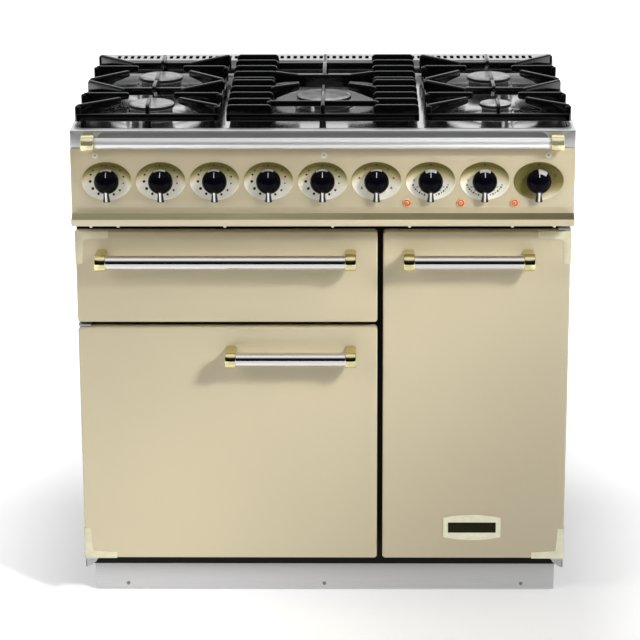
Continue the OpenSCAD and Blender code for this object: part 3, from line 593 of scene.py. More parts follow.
# ------------------------------------------------------------------ fascia with its cove and lip
def fascia():
    top = 879.0
    # depth, height, how far the ends are drawn in; the strip between the crease and the lip takes a dark painted shade,
    # and the lip a cream with a painted light fall-off towards the right
    face = [(YFR, top), (YCUT + 2, top), (YCUT + 0.6, top - 0.5), (YCUT, top - 2), (YCUT, 770.6), (YCUT + 0.25, 770.0), (YCUT + 1.5, 760.2), (YCUT + 1.2, 759.6)]
    strip = [(YCUT - 1.0, 758.0), (YCUT - 7.0, 752.8), (YCUT - 12.0, 751.0), (YCUT - 15.6, 750.8)]
    lip = [(YCUT - 16.2, 751.4), (YCUT - 17.0, 752.2), (YCUT - 17.8, 751.8), (YCUT - 18.0, 750.8), (YCUT - 18.0, 742.0), (YCUT - 17.6, 740.7), (YCUT - 16.6, 740.0), (YFR, 740.0)]
    prof = face + strip + lip
    n1, n2 = len(face), len(face) + len(strip)
    g = Mesh()
    rings = []
    steps = [(-450, 1.4), (-449.4, 0.4), (-448.4, 0.0), (448.4, 0.0), (449.4, 0.4), (450, 1.4)]
    for x, inset in steps:
        rings.append([(x, y + (inset if y < -280 else 0), z - (inset if z > 870 else 0) + (inset if z < 745 else 0)) for (y, z) in prof])
    n = len(prof)
    k = len(g.v)
    for r in rings:
        g.v += r
    for j in range(len(rings) - 1):
        for i in range(n):
            a, b = k + j * n + i, k + j * n + (i + 1) % n
            g.f.append([a, b, b + n, a + n])
            g.mi.append(1 if n1 - 1 <= i < n1 + 2 else (2 if n1 + 2 <= i < n - 2 else 0))
    g.f.append([k + i for i in reversed(range(n))])
    g.mi.append(0)
    g.f.append([k + (len(rings) - 1) * n + i for i in range(n)])
    g.mi.append(0)
    o = g.make("fascia", "cooker_body", ["cream", "cove", "lip"], "cream_enamel", 28)
    cut = Mesh()
    for x in KX:
        ring = lambda y: [(x + 43.2 * math.cos(2 * math.pi * i / 72), y, KZ + 33.85 * math.sin(2 * math.pi * i / 72)) for i in range(72)]
        cut.loft([ring(YCUT - 3), ring(YCUT + 16)], True, True)
    for i in range(3):
        cut.lathe([(5.9, -3), (5.9, 20)], (151 + 96 * i, YCUT, 779), "y", 24)
    me = bpy.data.meshes.new("cut")
    me.from_pydata([(a * S, b * S, c * S) for a, b, c in cut.v], [], cut.f)
    bm = bmesh.new(); bm.from_mesh(me); bmesh.ops.recalc_face_normals(bm, faces=bm.faces); bm.to_mesh(me); bm.free()
    co = bpy.data.objects.new("cut", me)
    bpy.context.scene.collection.objects.link(co)
    md = o.modifiers.new("holes", "BOOLEAN")
    md.operation = "DIFFERENCE"
    md.solver = "EXACT"
    md.object = co
    bake(o)
    o.data.polygons.foreach_set("use_smooth", [True] * len(o.data.polygons))
    o.data.set_sharp_from_angle(angle=rad(28))
    bpy.data.objects.remove(co)
    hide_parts("control_fascia")
    return o
fascia()

# ------------------------------------------------------------------ dished oval bezels with their printed marks
BA, BB = 44.5, 35.1
def dish_y(dx, dz):
    s2 = (dx / 42.5) ** 2 + (dz / 33.2) ** 2
    return -293.9 + 9.5 * (1 - min(s2, 1.0)) ** 1.0

def bezel_piece():
    g = Mesh()
    for q, x in enumerate(KX):
        n = 72
        ring = lambda a, b, y: [(x + a * math.cos(2 * math.pi * i / n), y, KZ + b * math.sin(2 * math.pi * i / n)) for i in range(n)]
        rings = [ring(43.0, 33.65, -283.0), ring(43.0, 33.65, -292.9), ring(44.3, 34.9, -292.9), ring(44.5, 35.1, -293.4), ring(44.3, 34.9, -294.2),
                 ring(43.8, 34.45, -294.6), ring(43.1, 33.8, -294.5), ring(42.5, 33.2, -293.9)]
        for k in range(1, 15):
            s = 1 - k / 15.5
            rings.append(ring(42.5 * s, 33.2 * s, -293.9 + 9.5 * (1 - s * s)))
        # the ninth plate takes the darker painted-shading copy
        d = 1 if q == 8 else 0
        g.loft(rings, True, True, d)
    return g.make("bezels", "cooker_body", ["bezel", "bezel_dark"], "bezel_metal", 40, replaces=["knob_bezels"])
bezel_piece()

def decal(g, x, pts, mi=0, lift=0.12):
    """Flat printed mark that follows the dish: pts is its outline about the knob's centre."""
    n = len(pts)
    a = [(x + p[0], dish_y(p[0], p[1]) - lift, KZ + p[1]) for p in pts]
    b = [(x + p[0], dish_y(p[0], p[1]) + 0.1, KZ + p[1]) for p in pts]
    g.loft([a, b], True, True, mi)

def dot(cx, cz, r, n=14):
    return [(cx + r * math.cos(2 * math.pi * i / n), cz + r * math.sin(2 * math.pi * i / n)) for i in range(n)]

def tick(ang, r0, r1, w):
    """Short radial bar at ang degrees clockwise from the top; the radii follow the oval."""
    a = rad(ang)
    dx, dz = math.sin(a), math.cos(a)
    def p(r, s):
        bx, bz = r * dx, r * dz * 0.86
        return (bx + s * dz, bz - s * dx)
    return [p(r0, -w / 2), p(r0, w / 2), p(r1, w / 2), p(r1, -w / 2)]

def marks():
    g = Mesh()
    for k in range(5):
        x = KX[k]
        for cx, cz, r, c in ((-24.4, 19.2, 1.8, 1), (-28.6, 11.2, 2.0, 0), (-30.0, -1.4, 2.5, 0), (-25.4, -14.4, 2.5, 0), (-15.3, -23.8, 2.3, 0), (11.8, -24.9, 2.1, 0),
                             (22.8, -17.4, 1.9, 0), (29.0, -5.0, 1.4, 1), (29.8, 7.4, 1.9, 1), (24.2, 19.4, 2.0, 1), (-8.2, 28.4, 1.5, 1)):
            decal(g, x, dot(cx, cz, r), c)
        decal(g, x, [(-2.1, 26.8), (0.1, 26.8), (0.1, 31.0), (-2.1, 31.0)], 0)
        decal(g, x, dot(13.6, 27.0, 1.4), 1)
    for k in (6, 7):
        x = KX[k]
        decal(g, x, dot(0, 29.6, 2.0), 0)
        for q, a in enumerate((107, 116, 125, 134, 143, 152, 161, 199, 208, 217, 226, 235, 244, 253)):
            t = rad(a)
            decal(g, x, dot(32.6 * math.sin(t), 27.4 * math.cos(t), 1.6 if q % 2 else 1.1, 10), 0)
        decal(g, x, [(-31.5, -1.2), (-27.5, -1.2), (-27.5, -0.2), (-31.5, -0.2)], 0)
        decal(g, x, [(-31.5, 1.2), (-27.5, 1.2), (-27.5, 2.0), (-31.5, 2.0)], 0)
    x = KX[5]
    decal(g, x, dot(0, 29.6, 2.0), 0)
    for a, c in ((42, 1), (82, 1), (122, 0), (238, 0), (278, 1), (318, 1)):
        t = rad(a)
        cx, cz = 31 * math.sin(t), 27.5 * math.cos(t)
        decal(g, x, [(cx - 2.4, cz - 0.7), (cx + 2.4, cz - 0.7), (cx + 2.4, cz + 0.5), (cx - 2.4, cz + 0.5)], c)
        decal(g, x, dot(cx, cz + 2.2, 1.3, 10), c)
    x = KX[8]
    decal(g, x, dot(0, 29.6, 2.2), 0)
    for cx, cz, w, h in ((-30, 10, 2.0, 1.8), (30, 10.5, 6.0, 1.8), (30, 7.2, 5.0, 0.9), (-30, 3, 1.6, 1.6), (-13.5, -25.5, 1.8, 2.2), (16, 26, 2.2, 1.6), (-16, 26.5, 2.2, 1.6)):
        decal(g, x, [(cx - w / 2, cz - h / 2), (cx + w / 2, cz - h / 2), (cx + w / 2, cz + h / 2), (cx - w / 2, cz + h / 2)], 1)
    return g.make("dial_marks", "cooker_body", ["mark_black", "mark_olive"], "knob_plastic", 40)
marks()

def numbers():
    """Plain dial numbers, bent on to the dish."""
    out = Mesh()
    for k, items in ((6, ((122, "50"), (144, "100"), (216, "200"), (238, "250"))), (7, ((122, "50"), (144, "100"), (216, "200"), (238, "250"))),
                     (8, ((52, "1"), (88, "2"), (150, "3"), (272, "4"), (308, "5")))):
        for ang, txt in items:
            cu = bpy.data.curves.new("t", "FONT")
            cu.body = txt
            cu.size = 4.4
            cu.align_x = "CENTER"
            cu.align_y = "CENTER"
            to = bpy.data.objects.new("t", cu)
            bpy.context.scene.collection.objects.link(to)
            bpy.context.view_layer.update()
            me = bpy.data.meshes.new_from_object(to.evaluated_get(bpy.context.evaluated_depsgraph_get()))
            t = rad(ang)
            cx, cz = 26.3 * math.sin(t), 22.6 * math.cos(t)
            bm = bmesh.new()
            bm.from_mesh(me)
            bmesh.ops.triangulate(bm, faces=bm.faces)
            bm.verts.index_update()
            bm.verts.ensure_lookup_table()
            n = len(bm.verts)
            front, back = [], []
            for v in bm.verts:
                px, pz = cx + v.co.x, cz + v.co.y
                front.append((KX[k] + px, dish_y(px, pz) - 0.12, KZ + pz))
                back.append((KX[k] + px, dish_y(px, pz) + 0.1, KZ + pz))
            faces = [[l.vert.index for l in f.loops] for f in bm.faces]
            sides = []
            for e in bm.edges:
                if len(e.link_faces) == 1:
                    a, b = e.verts[0].index, e.verts[1].index
                    sides.append([a, b, b + n, a + n])
            out.add(front + back, faces + [[i + n for i in reversed(f)] for f in faces] + sides)
            bm.free()
            bpy.data.objects.remove(to)
    return out.make("dial_numbers", "cooker_body", "mark_black", "knob_plastic", 40)
numbers()

# ------------------------------------------------------------------ knobs
def dome_y(r):
    """Front surface of the dome at radius r: a sphere cap with a fine ring groove."""
    t = min(r / 22.2, 1.0)
    y = -299.0 - 19.5 * math.sqrt(max(0.0, 1 - t * t))
    return y + 0.35 * math.exp(-((r - 13.2) / 0.45) ** 2)

def patch(g, fn, r0, r1, a0, a1, rows, cols, lift, sink, mi):
    """Closed shell over the dome between two radii and two angles."""
    verts, faces = [], []
    W, N = cols + 1, (rows + 1) * (cols + 1)
    for h in (lift, -sink):
        for j in range(rows + 1):
            for t in range(cols + 1):
                u, w = j / rows, t / cols
                e = 0.0 if 0 < u < 1 and 0 < w < 1 else 1.0
                verts.append(fn(r0 + (r1 - r0) * u, a0 + (a1 - a0) * w, h - (0.12 * e if h > 0 else 0)))
    for j in range(rows):
        for t in range(cols):
            q = [j * W + t, j * W + t + 1, (j + 1) * W + t + 1, (j + 1) * W + t]
            faces.append(q)
            faces.append([v + N for v in reversed(q)])
    for t in range(cols):
        q = rows * W
        faces.append([t + 1, t, t + N, t + 1 + N])
        faces.append([q + t, q + t + 1, q + t + 1 + N, q + t + N])
    for j in range(rows):
        faces.append([j * W, (j + 1) * W, (j + 1) * W + N, j * W + N])
        faces.append([(j + 1) * W + cols, j * W + cols, j * W + cols + N, (j + 1) * W + cols + N])
    g.add(verts, faces, mi)

def knob(i, body, node, elec):
    x = KX[i]
    g = Mesh()
    prof = [(0.2, -292.0), (19.8, -292.0), (21.2, -292.6), (21.9, -293.8), (22.2, -299.0)]
    rr = [22.15, 21.9, 21.4, 20.6, 19.4, 17.8, 16.0, 14.6, 14.0, 13.6, 13.2, 12.8, 12.4, 11.0, 9.0, 7.0, 5.0, 3.0, 1.2, 0.2]
    prof += [(r, dome_y(r)) for r in rr]
    g.lathe(prof, (x, 0, KZ), "y", 64, 0)
    def put(t, a, lift):
        # t below 0 runs down the wall, above 0 it is the angle up the dome
        if t < 0:
            r, y = 22.2 + lift, -299.0 - 0.15 * t
        else:
            c, q = math.cos(rad(t)), math.sin(rad(t))
            nr, ny = c / 22.2, -q / 19.5
            nl = math.hypot(nr, ny)
            r, y = 22.2 * c + lift * nr / nl, -299.0 - 19.5 * q + lift * ny / nl
        return (x + r * math.sin(rad(a)), y, KZ + r * math.cos(rad(a)))
    # painted highlight: a pale segment over the upper edge of the dome stands in for a reflection; its fine line is the
    # printed index
    a0, a1, t0, t1 = (-31, 24, -24, 16) if i < 5 else ((-26, 26, -24, 14) if i == 5 else ((-26, 28, -22, 27) if i < 8 else (-4, 41, -14, 40)))
    patch(g, put, t0, t1, a0, a1, 8, 14, 0.22, 0.3, 1)
    def line(r, a, lift):
        return (x + a, dome_y(r) - lift, KZ + r)
    patch(g, line, 11.8, 19.6, -0.5, 0.5, 5, 1, 0.40, 0.3, 3)
    # flared chrome pointer: its flanks carry a painted dark reflection and its middle strip is bright chrome, its face
    # sloping back to the plate
    shape = ((-11, 4.2, -311, -303), (-13.5, 4.4, -314.5, -301), (-17, 4.6, -315.2, -300), (-22, 4.9, -313.4, -299.6), (-27, 5.3, -311.2, -299.4),
             (-31.5, 6.0, -309.2, -299.2), (-34.6, 6.5, -307.8, -299.2), (-35.7, 6.3, -306.6, -299.6), (-36.2, 5.6, -305.4, -300.4))
    for wide, out, mi, part in ((1, 0.0, 4, shape), (0, 0.6, 2, shape[:7])):
        rings = []
        for z, w, ya, yb in part:
            w = w if wide else 2.7
            ya -= out
            ym, hy = (ya + yb) / 2, (yb - ya) / 2
            ring = []
            for q in range(28):
                a = 2 * math.pi * q / 28
                c, s_ = math.cos(a), math.sin(a)
                ring.append((x + w * math.copysign(abs(c) ** 0.6, c), ym - hy * math.copysign(abs(s_) ** 0.6, s_), KZ + z))
            rings.append(ring)
        g.loft(rings, True, True, mi)
    return g.make(node + "_form", body, ["knob", "index", "chrome", "mark_white", "pointer_flank_reflection"], "knob_plastic", 40, replaces=[node])

for i in range(9):
    if i < 5:
        knob(i, "gas_knob_%d" % (i + 1), "gas_knob_%d" % (i + 1), False)
    else:
        knob(i, "control_knob_%d" % (i - 4), "control_knob_%d" % (i - 4), True)

# ------------------------------------------------------------------ neon lenses and screws
def neons():
    g = Mesh()
    for i in range(3):
        o = (151 + 96 * i, YCUT, 779)
        g.lathe([(0.1, 14), (5.6, 14), (5.6, -0.1), (7.5, -0.1), (7.8, -0.7), (7.8, -1.5), (7.2, -2.1), (5.9, -2.3), (5.3, -1.7), (3.5, -1.5), (3.1, -2.0), (1.4, -2.6), (0.1, -2.7)], o, "y", 32,
                mis=[0, 0, 0, 0, 0, 0, 0, 1, 1, 0, 0, 1, 1])
    g.make("neon_lenses", "cooker_body", ["neon", "neon_deep"], "neon_lens", 35, replaces=["neon_lamps"])
neons()

def screws():
    g = Mesh()
    for x, y, z, r in ((-405, YCUT, 866.5, 5.8), (3, YCUT, 866.5, 5.8), (402, YCUT, 866.5, 5.8), (-373, -223, 13, 3.4), (0, -223, 13, 3.4), (373, -223, 13, 3.4)):
        k = r / 5.4
        # painted shade: the cross slots take a darker copy of the screw metal, and the plinth screw heads take it whole
        g.lathe([(0.1, 2), (2.2 * k, 2), (2.2 * k, 0), (5.3 * k, 0.1), (5.4 * k, -0.5 * k), (5.0 * k, -1.05 * k), (4.4 * k, -1.2 * k), (2.0 * k, -1.3 * k),
                 (1.6 * k, -0.9 * k), (0.1, -0.9 * k)], (x, y, z), "y", 28, 1 if z < 100 else 0)
        for a in (0, 90):
            c, s_ = math.cos(rad(45 + a)), math.sin(rad(45 + a))
            g.loft([[(x + u * c * k - w * s_ * k, yy, z + u * s_ * k + w * c * k) for u, w in ((-2.4, -0.3), (2.4, -0.3), (2.4, 0.3), (-2.4, 0.3))] for yy in (y - 0.6 * k, y - 1.33 * k)], True, True, 1)
    g.make("screw_heads", "cooker_body", ["screw", "screw_slot"], "chrome", 30, replaces=["screws"])
    # folded skirts of the lower hinge brackets
    b = Mesh()
    for s in (-1, 1):
        b.prism([(s * 447, 80.8), (s * 447, 66.5), (s * 442, 66.5), (s * 427, 77.5), (s * 427, 80.8)], -269.5, -267.7, "y")
        b.prism([(-269.5, 80.8), (-269.5, 66.5), (-264.0, 66.5), (-238.0, 77.5), (-238.0, 80.8)], s * 447 - (1.8 if s > 0 else 0), s * 447 + (0 if s > 0 else 1.8), "x")
        b.prism([(s * 437 - 0.9, 80.8), (s * 437 - 0.9, 70), (s * 437 + 0.9, 70), (s * 437 + 0.9, 80.8)], -271.0, -269.5, "y")
    b.make("hinge_skirts", "cooker_body", "alloy", "stainless", 30, bevel=0.3, segs=1)
screws()

# ------------------------------------------------------------------ handrail
def rail():
    g = Mesh()
    r = 10.0
    prof = [(r - 1.5, 0), (r - 0.3, 0), (r, 0.4), (r, 829.6), (r - 0.3, 830), (r - 1.5, 830)]
    g.lathe(prof, (-415, RY, 892), "x", 56)
    g.make("rail_tube", "cooker_body", "rail", "chrome", 40, replaces=["handrail"])
    b = Mesh()
    collar(b, -428, -405, RY, 892, 15, -1)
    collar(b, 405, 428, RY, 892, 15, 1)
    for s in (-1, 1):
        post(b, s * 417, RY + 2, YCUT, 892, 11.0, 14.0, 4.0, 1.0)
    b.make("rail_brackets", "cooker_body", "rail_brass", "brass", 35, replaces=["handrail_brackets"])
rail()

# ------------------------------------------------------------------ hob tray
def hob():
    # frame: block with rounded edges, a long finger recess in front and an open middle
    x0, x1, y0, y1, z0, z1 = -450, 450, YCUT, 264, 879, 912
    g = Mesh()
    g.box((x0, y0, z0), (x1, y1, z1))
    f = g.make("hob_frame", "cooker_body", "steel", "stainless", 30, bevel=2.2, segs=4)
    cut = Mesh()
    # recess outline in x, z with rounded top corners
    r = 15
    zt, zb = 908.0, 880.5
    poly = []
    for cxx, a0 in ((402 - r, 0), (-402 + r, 90)):
        for i in range(9):
            a = rad(a0 + 90 * i / 8)
            poly.append((cxx + r * math.cos(a), zt - r + r * math.sin(a)))
    poly += [(-402, zb), (402, zb)]
    cut.prism(poly, YCUT - 2, YCUT + 16, "y")
    pts = rrect(-440, 440, YCUT + 18, 254, 16, 8)
    cut.prism(pts, 870, 920, "z")
    me = bpy.data.meshes.new("cut")
    me.from_pydata([(a * S, b * S, c * S) for a, b, c in cut.v], [], cut.f)
    bm = bmesh.new(); bm.from_mesh(me); bmesh.ops.recalc_face_normals(bm, faces=bm.faces); bm.to_mesh(me); bm.free()
    co = bpy.data.objects.new("cut", me)
    bpy.context.scene.collection.objects.link(co)
    md = f.modifiers.new("holes", "BOOLEAN")
    md.operation, md.solver, md.object = "DIFFERENCE", "EXACT", co
    bv = f.modifiers.new("soft", "BEVEL")
    bv.width, bv.segments, bv.limit_method, bv.angle_limit = 0.9 * S, 2, "ANGLE", rad(50)
    bake(f)
    f.data.polygons.foreach_set("use_smooth", [True] * len(f.data.polygons))
    f.data.set_sharp_from_angle(angle=rad(30))
    bpy.data.objects.remove(co)
    # painted shade: the faces inside the finger recess take a darker copy of the band steel
    f.data.materials.append(M["recess"])
    for p in f.data.polygons:
        c = p.center
        if abs(c.x) < 0.3925 and 0.8800 < c.z < 0.9083 and (YCUT + 1.2) * S < c.y < (YCUT + 16.5) * S:
            p.material_index = 1
    # pressed floor with a shallow dish round each burner and a fillet up to the frame
    fx0, fx1, fy0, fy1 = -441.0, 441.0, YCUT + 17, 255.0
    def cuts(a, b, step):
        edge = (0, 0.5, 1.1, 1.8, 2.6, 3.4, 4.2, 5.4, 8.0)
        lo, hi = [a + e for e in edge], [b - e for e in reversed(edge)]
        n = int(round((hi[0] - lo[-1]) / step))
        return lo + [lo[-1] + (hi[0] - lo[-1]) * i / n for i in range(1, n)] + hi
    gx, gy = cuts(fx0, fx1, 5.0), cuts(fy0, fy1, 5.0)
    nx, ny = len(gx) - 1, len(gy) - 1
    verts, faces = [], []
    def h(x, y):
        z = 899.5
        for bx, by, br, bz in BURN:
            d = math.hypot(x - bx, y - by)
            R = 100 if br < 50 else 118
            if d < R:
                t = d / R
                z = min(z, 897.2 + 2.3 * (t * t * (3 - 2 * t)) + (0.8 if d < br + 12 else 0.8 * max(0, 1 - (d - br - 12) / 10)))
        e = min(x - fx0, fx1 - x, y - fy0, fy1 - y)
        if e < 4.2:
            t = 1 - e / 4.2
            z += 10.5 * (t * t * (3 - 2 * t))
        return min(z, 910.5)
    for y in gy:
        for x in gx:
            verts.append((x, y, h(x, y)))
    W = nx + 1
    for j in range(ny):
        for i in range(nx):
            faces.append([j * W + i, j * W + i + 1, (j + 1) * W + i + 1, (j + 1) * W + i])
    N = len(verts)
    verts += [(x, y, z - 1.4) for x, y, z in verts]
    faces += [[v + N for v in reversed(q)] for q in faces[:nx * ny]]
    for i in range(nx):
        faces.append([i + 1, i, i + N, i + 1 + N])
        q = ny * W
        faces.append([q + i, q + i + 1, q + i + 1 + N, q + i + N])
    for j in range(ny):
        faces.append([j * W, (j + 1) * W, (j + 1) * W + N, j * W + N])
        q = nx
        faces.append([(j + 1) * W + q, j * W + q, j * W + q + N, (j + 1) * W + q + N])
    t = Mesh()
    t.add(verts, faces)
    tray = t.make("hob_tray", "cooker_body", "tray", "stainless", 60)
    # dark enamelled base plate under the centre burner
    b = Mesh()
    b.lathe([(40, 897.0), (95, 897.2), (110, 899.4), (112, 900.0), (111, 901.0), (104, 901.2), (90, 899.6), (60, 899.2), (40, 898.8)], (0, -23, 0), "z", 72)
    b.make("centre_burner_base", "cooker_body", "base", "burner_alloy", 40)
    # painted shade: a dark sheet under the flue slots stands in for the shade inside the flue
    b = Mesh()
    b.box((-414, 279, 920.0), (414, 309, 924.5))
    b.make("flue_painted_shade_sheet", "cooker_body", "slot_black", "oven_enamel", 30, bevel=0.3, segs=1)
    # small screw heads under the fascia's lip
    b = Mesh()
    for x in (-414.6, -366, -175, 18, 155.6, 339, 414):
        b.lathe([(0.2, 740.5), (3.4, 740.5), (3.4, 739.2), (2.4, 737.2), (1.2, 736.6), (0.2, 736.8)], (x, -305.5, 0), "z", 18)
    b.make("lip_screws", "cooker_body", "screw", "chrome", 35)
    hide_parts("hob_top")
hob()

# ------------------------------------------------------------------ burners
def burners():
    heads, caps, elec = Mesh(), Mesh(), Mesh()
    for k, (x, y, r, zt) in enumerate(BURN):
        h = zt - 9 - 897
        n = 48 if r < 50 else 60
        n *= 4
        def wob(j, a, rr, n=n):
            # flame ports: every fourth step is cut back on the port rows
            i = int(round(a / (2 * math.pi) * n)) % 4
            return rr - 2.6 if (j in (5, 6) and i in (0, 1)) else rr
        top = zt - 9
        prof = [(r * 0.5, 897.2), (r + 5, 897.2), (r + 5.6, 898.4), (r + 5, 900.6), (r - 4.2, 902.2), (r - 4.2, 902.6), (r - 4.2, top - 2.6), (r - 4.2, top - 1.6), (r - 3.2, top + 0.4), (r * 0.45, top + 0.4)]
        heads.lathe([(a, b) for a, b in prof], (x, y, 0), "z", n, 0, None, wob)
        b = zt - 9
        prof = [(r * 0.4, b + 0.4), (r - 1.5, b + 0.2), (r - 0.3, b + 0.8), (r, b + 2.0), (r, b + 4.6), (r - 0.8, b + 6.0), (r - 2.4, b + 7.2), (r - 5, b + 8.0), (r - 9, b + 8.6), (r - 12, b + 8.3), (r * 0.35, b + 8.6), (0.3, b + 9)]
        caps.lathe(prof, (x, y, 0), "z", 72, 0, [1, 1, 1, 1, 1, 0, 0, 0, 0, 0, 0])
        # spark electrode: ceramic sleeve, wire and its clip
        for ang, kind in ((215 if x <= 0 else 325, 0), (250 if x <= 0 else 290, 1)):
            ex, ey = x + (r + 9) * math.cos(rad(ang)), y + (r + 9) * math.sin(rad(ang))
            elec.lathe([(0.2, 898), (3.4, 898), (3.4, 906), (2.6, 907.5), (2.4, 913), (1.2, 914), (1.0, 919 if kind == 0 else 916), (0.2, 919.5 if kind == 0 else 916.5)], (ex, ey, 0), "z", 16, 0, [0, 0, 0, 0, 0, 1, 1])
    heads.make("burner_crowns", "cooker_body", "alloy", "burner_alloy", 35, replaces=["burner_heads"])
    caps.make("burner_lids", "cooker_body", ["cap", "rim"], "burner_alloy", 40, replaces=["burner_caps"])
    elec.make("spark_electrodes", "cooker_body", ["ceramic", "wire"], "burner_alloy", 40)
burners()

# ------------------------------------------------------------------ pan supports
GZ = 946.0
def P(x, d):
    return (x, d - 271.0)

def blade(g, a, b, w=6.5, hump=0.0, tip=12.5, root=916.0, keep=0.34):
    """Upright web: full height at its outer end a, shallow at its tip b, with a rounded top corner at the outer end."""
    ax, ay = a
    bx, by = b
    L = math.hypot(bx - ax, by - ay)
    ux, uy = (bx - ax) / L, (by - ay) / L
    prof = []
    r = 7.0
    for i in range(6):
        t = rad(180 - 18 * i)
        prof.append((r + r * math.cos(t), GZ - r + r * math.sin(t)))
    rt_ = 4.0
    for i in range(5):
        t = rad(90 - 22.5 * i)
        prof.append((L - rt_ + rt_ * math.cos(t), GZ - rt_ + rt_ * math.sin(t)))
    for i in range(4):
        t = rad(0 - 30 * i)
        prof.append((L - rt_ + rt_ * math.cos(t), GZ - tip + rt_ + rt_ * math.sin(t)))
    prof.append((L * keep + (L * (1 - keep)) * 0.45, GZ - tip - 4.5))
    prof.append((L * keep, root))
    prof.append((0, root))
    nx_, ny_ = -uy, ux
    rings = []
    for off, ins in ((-w / 2, 1.3), (-w / 2 + 0.4, 0.5), (-w / 2 + 1.3, 0.0), (w / 2 - 1.3, 0.0), (w / 2 - 0.4, 0.5), (w / 2, 1.3)):
        cs, cz = L * 0.4, 936
        ring = []
        for s, z in prof:
            ds = ins if s < L * 0.2 else (-ins if s > L * 0.8 else 0)
            dz = -ins if z > 940 else ins
            ring.append((ax + ux * (s + ds) + nx_ * off, ay + uy * (s + ds) + ny_ * off, z + dz))
        rings.append(ring)
    g.loft(rings, True, True)

def rod(g, a, b, z0, z1, w, r=2.0):
    """Bar with rounded edges between two points seen from above."""
    ax, ay = a
    bx, by = b
    L = math.hypot(bx - ax, by - ay)
    ux, uy = (bx - ax) / L, (by - ay) / L
    sec = rrect(-w / 2, w / 2, z0, z1, r, 5)
    rings = []
    for s, ins in ((0, 1.2), (0.5, 0.4), (1.4, 0), (L - 1.4, 0), (L - 0.5, 0.4), (L, 1.2)):
        ring = []
        for o, z in sec:
            k = 1 - ins / (w / 2)
            zz = (z0 + z1) / 2 + (z - (z0 + z1) / 2) * (1 - ins / ((z1 - z0) / 2))
            ring.append((ax + ux * s - uy * o * k, ay + uy * s + ux * o * k, zz))
        rings.append(ring)
    g.loft(rings, True, True)

def knuckle(g, p, z0=915.5, z1=943.5, r=5.6):
    g.lathe([(0.2, z0), (r - 0.8, z0), (r, z0 + 0.8), (r, z1 - 2.4), (r - 0.9, z1 - 0.8), (r - 2.4, z1), (0.2, z1 + 0.2)], (p[0], p[1], 0), "z", 20)

def foot(g, x, d):
    p = P(x, d)
    g.lathe([(0.2, 898.4), (6.5, 898.4), (7, 899.4), (6.2, 903), (5.4, 918), (0.2, 919)], (p[0], p[1], 0), "z", 20)

def side_grate(name, body, sgn, node):
    g = Mesh()
    f = (lambda x, d: P(-x if sgn > 0 else x, d))
    def mir(x):
        return -630 - x
    for d in (36, 256, 492):
        rod(g, f(-443, d), f(-187, d), 915.5, 930, 10, 2.6)
    for x in (-438.5, -191.5):
        rod(g, f(x, 31), f(x, 497), 915.5, 929, 8.5, 2.4)
    bl = [((-443, 35), (-368, 99)), ((-442, 138), (-356, 138)), ((-441, 250), (-369, 175)), ((-441, 262), (-373, 339)), ((-442, 380), (-358, 380)), ((-443, 491), (-370, 413))]
    for (a, b) in bl:
        blade(g, f(*a), f(*b))
        blade(g, f(mir(a[0]), a[1]), f(mir(b[0]), b[1]))
        for q in (a, (mir(a[0]), a[1])):
            knuckle(g, f(q[0] + (3.2 if q[0] < -315 else -3.2), min(max(q[1], 37.5), 489)))
    for a, b in (((-315, 33), (-315, 92)), ((-315, 256), (-315, 190)), ((-315, 256), (-315, 332)), ((-315, 495), (-315, 425))):
        blade(g, f(*a), f(*b), keep=0.2)
    for x in (-430, -200, -315):
        for d in (38, 490):
            foot(g, x, d)
    return g.make(name, body, "grate", "grate_enamel", 42, replaces=[node])

def centre_grate():
    g = Mesh()
    for d in (36, 490):
        rod(g, P(-173, d), P(173, d), 915.5, 930, 10, 2.6)
    for s in (-1, 1):
        rod(g, P(s * 169, 31), P(s * 169, 495), 915.5, 929, 8.5, 2.4)
        rod(g, P(s * 97, 34), P(s * 97, 492), 917, 931, 7.5, 2.2)
        for o in (11.5, 66.8, 120, 173.7, 227):
            for t in (-1, 1):
                # both ends of these long webs are full height with rounded corners
                web(g, P(s * 172.8, 262 + t * o), P(s * 91, 262 + t * o))
        for (a, b) in ((P(s * 98, 332), P(s * 46, 298)), (P(s * 98, 189), P(s * 46, 223))):
            blade(g, a, b, keep=0.1, tip=14, root=922)
    rod(g, P(-48, 298), P(48, 298), GZ - 24, GZ, 6.8, 2.2)
    rod(g, P(-97, 69), P(97, 69), GZ - 11, GZ, 6.8, 2.2)
    rod(g, P(0, 33), P(0, 206), GZ - 13, GZ, 6.8, 2.2)
    rod(g, P(0, 296), P(0, 493), GZ - 13, GZ, 6.8, 2.2)
    for d in (36, 490):
        rod(g, P(-3.4, d), P(3.4, d), 920, GZ - 1, 8, 2.2)
    for x in (-97, 97):
        knuckle(g, P(x, 69), 917, 945, 4.6)
    for x in (-160, 0, 160):
        for d in (38, 488):
            foot(g, x, d)
    return g.make("centre_grate_form", "centre_grate", "grate", "grate_enamel", 42, replaces=["pan_support_centre"])

def web(g, a, b, w=6.5):
    """Straight full-height web with rounded top corners at both ends."""
    ax, ay = a
    bx, by = b
    L = math.hypot(bx - ax, by - ay)
    ux, uy = (bx - ax) / L, (by - ay) / L
    prof = []
    for c, a0 in ((8.0, 180), (L - 8.0, 90)):
        for i in range(6):
            t = rad(a0 - 18 * i)
            prof.append((c + 8.0 * math.cos(t), GZ - 8.0 + 8.0 * math.sin(t)))
    prof += [(L, 922), (L - 3, 917), (0, 917)]
    rings = []
    for off, ins in ((-w / 2, 1.3), (-w / 2 + 0.4, 0.5), (-w / 2 + 1.3, 0.0), (w / 2 - 1.3, 0.0), (w / 2 - 0.4, 0.5), (w / 2, 1.3)):
        ring = []
        for s, z in prof:
            ds = ins * (1 - 2 * s / L)
            dz = -ins if z > 936 else ins
            ring.append((ax + ux * (s + ds) - uy * off, ay + uy * (s + ds) + ux * off, z + dz))
        rings.append(ring)
    g.loft(rings, True, True)

side_grate("left_grate_form", "left_grate", -1, "pan_support_left")
side_grate("right_grate_form", "right_grate", 1, "pan_support_right")
centre_grate()

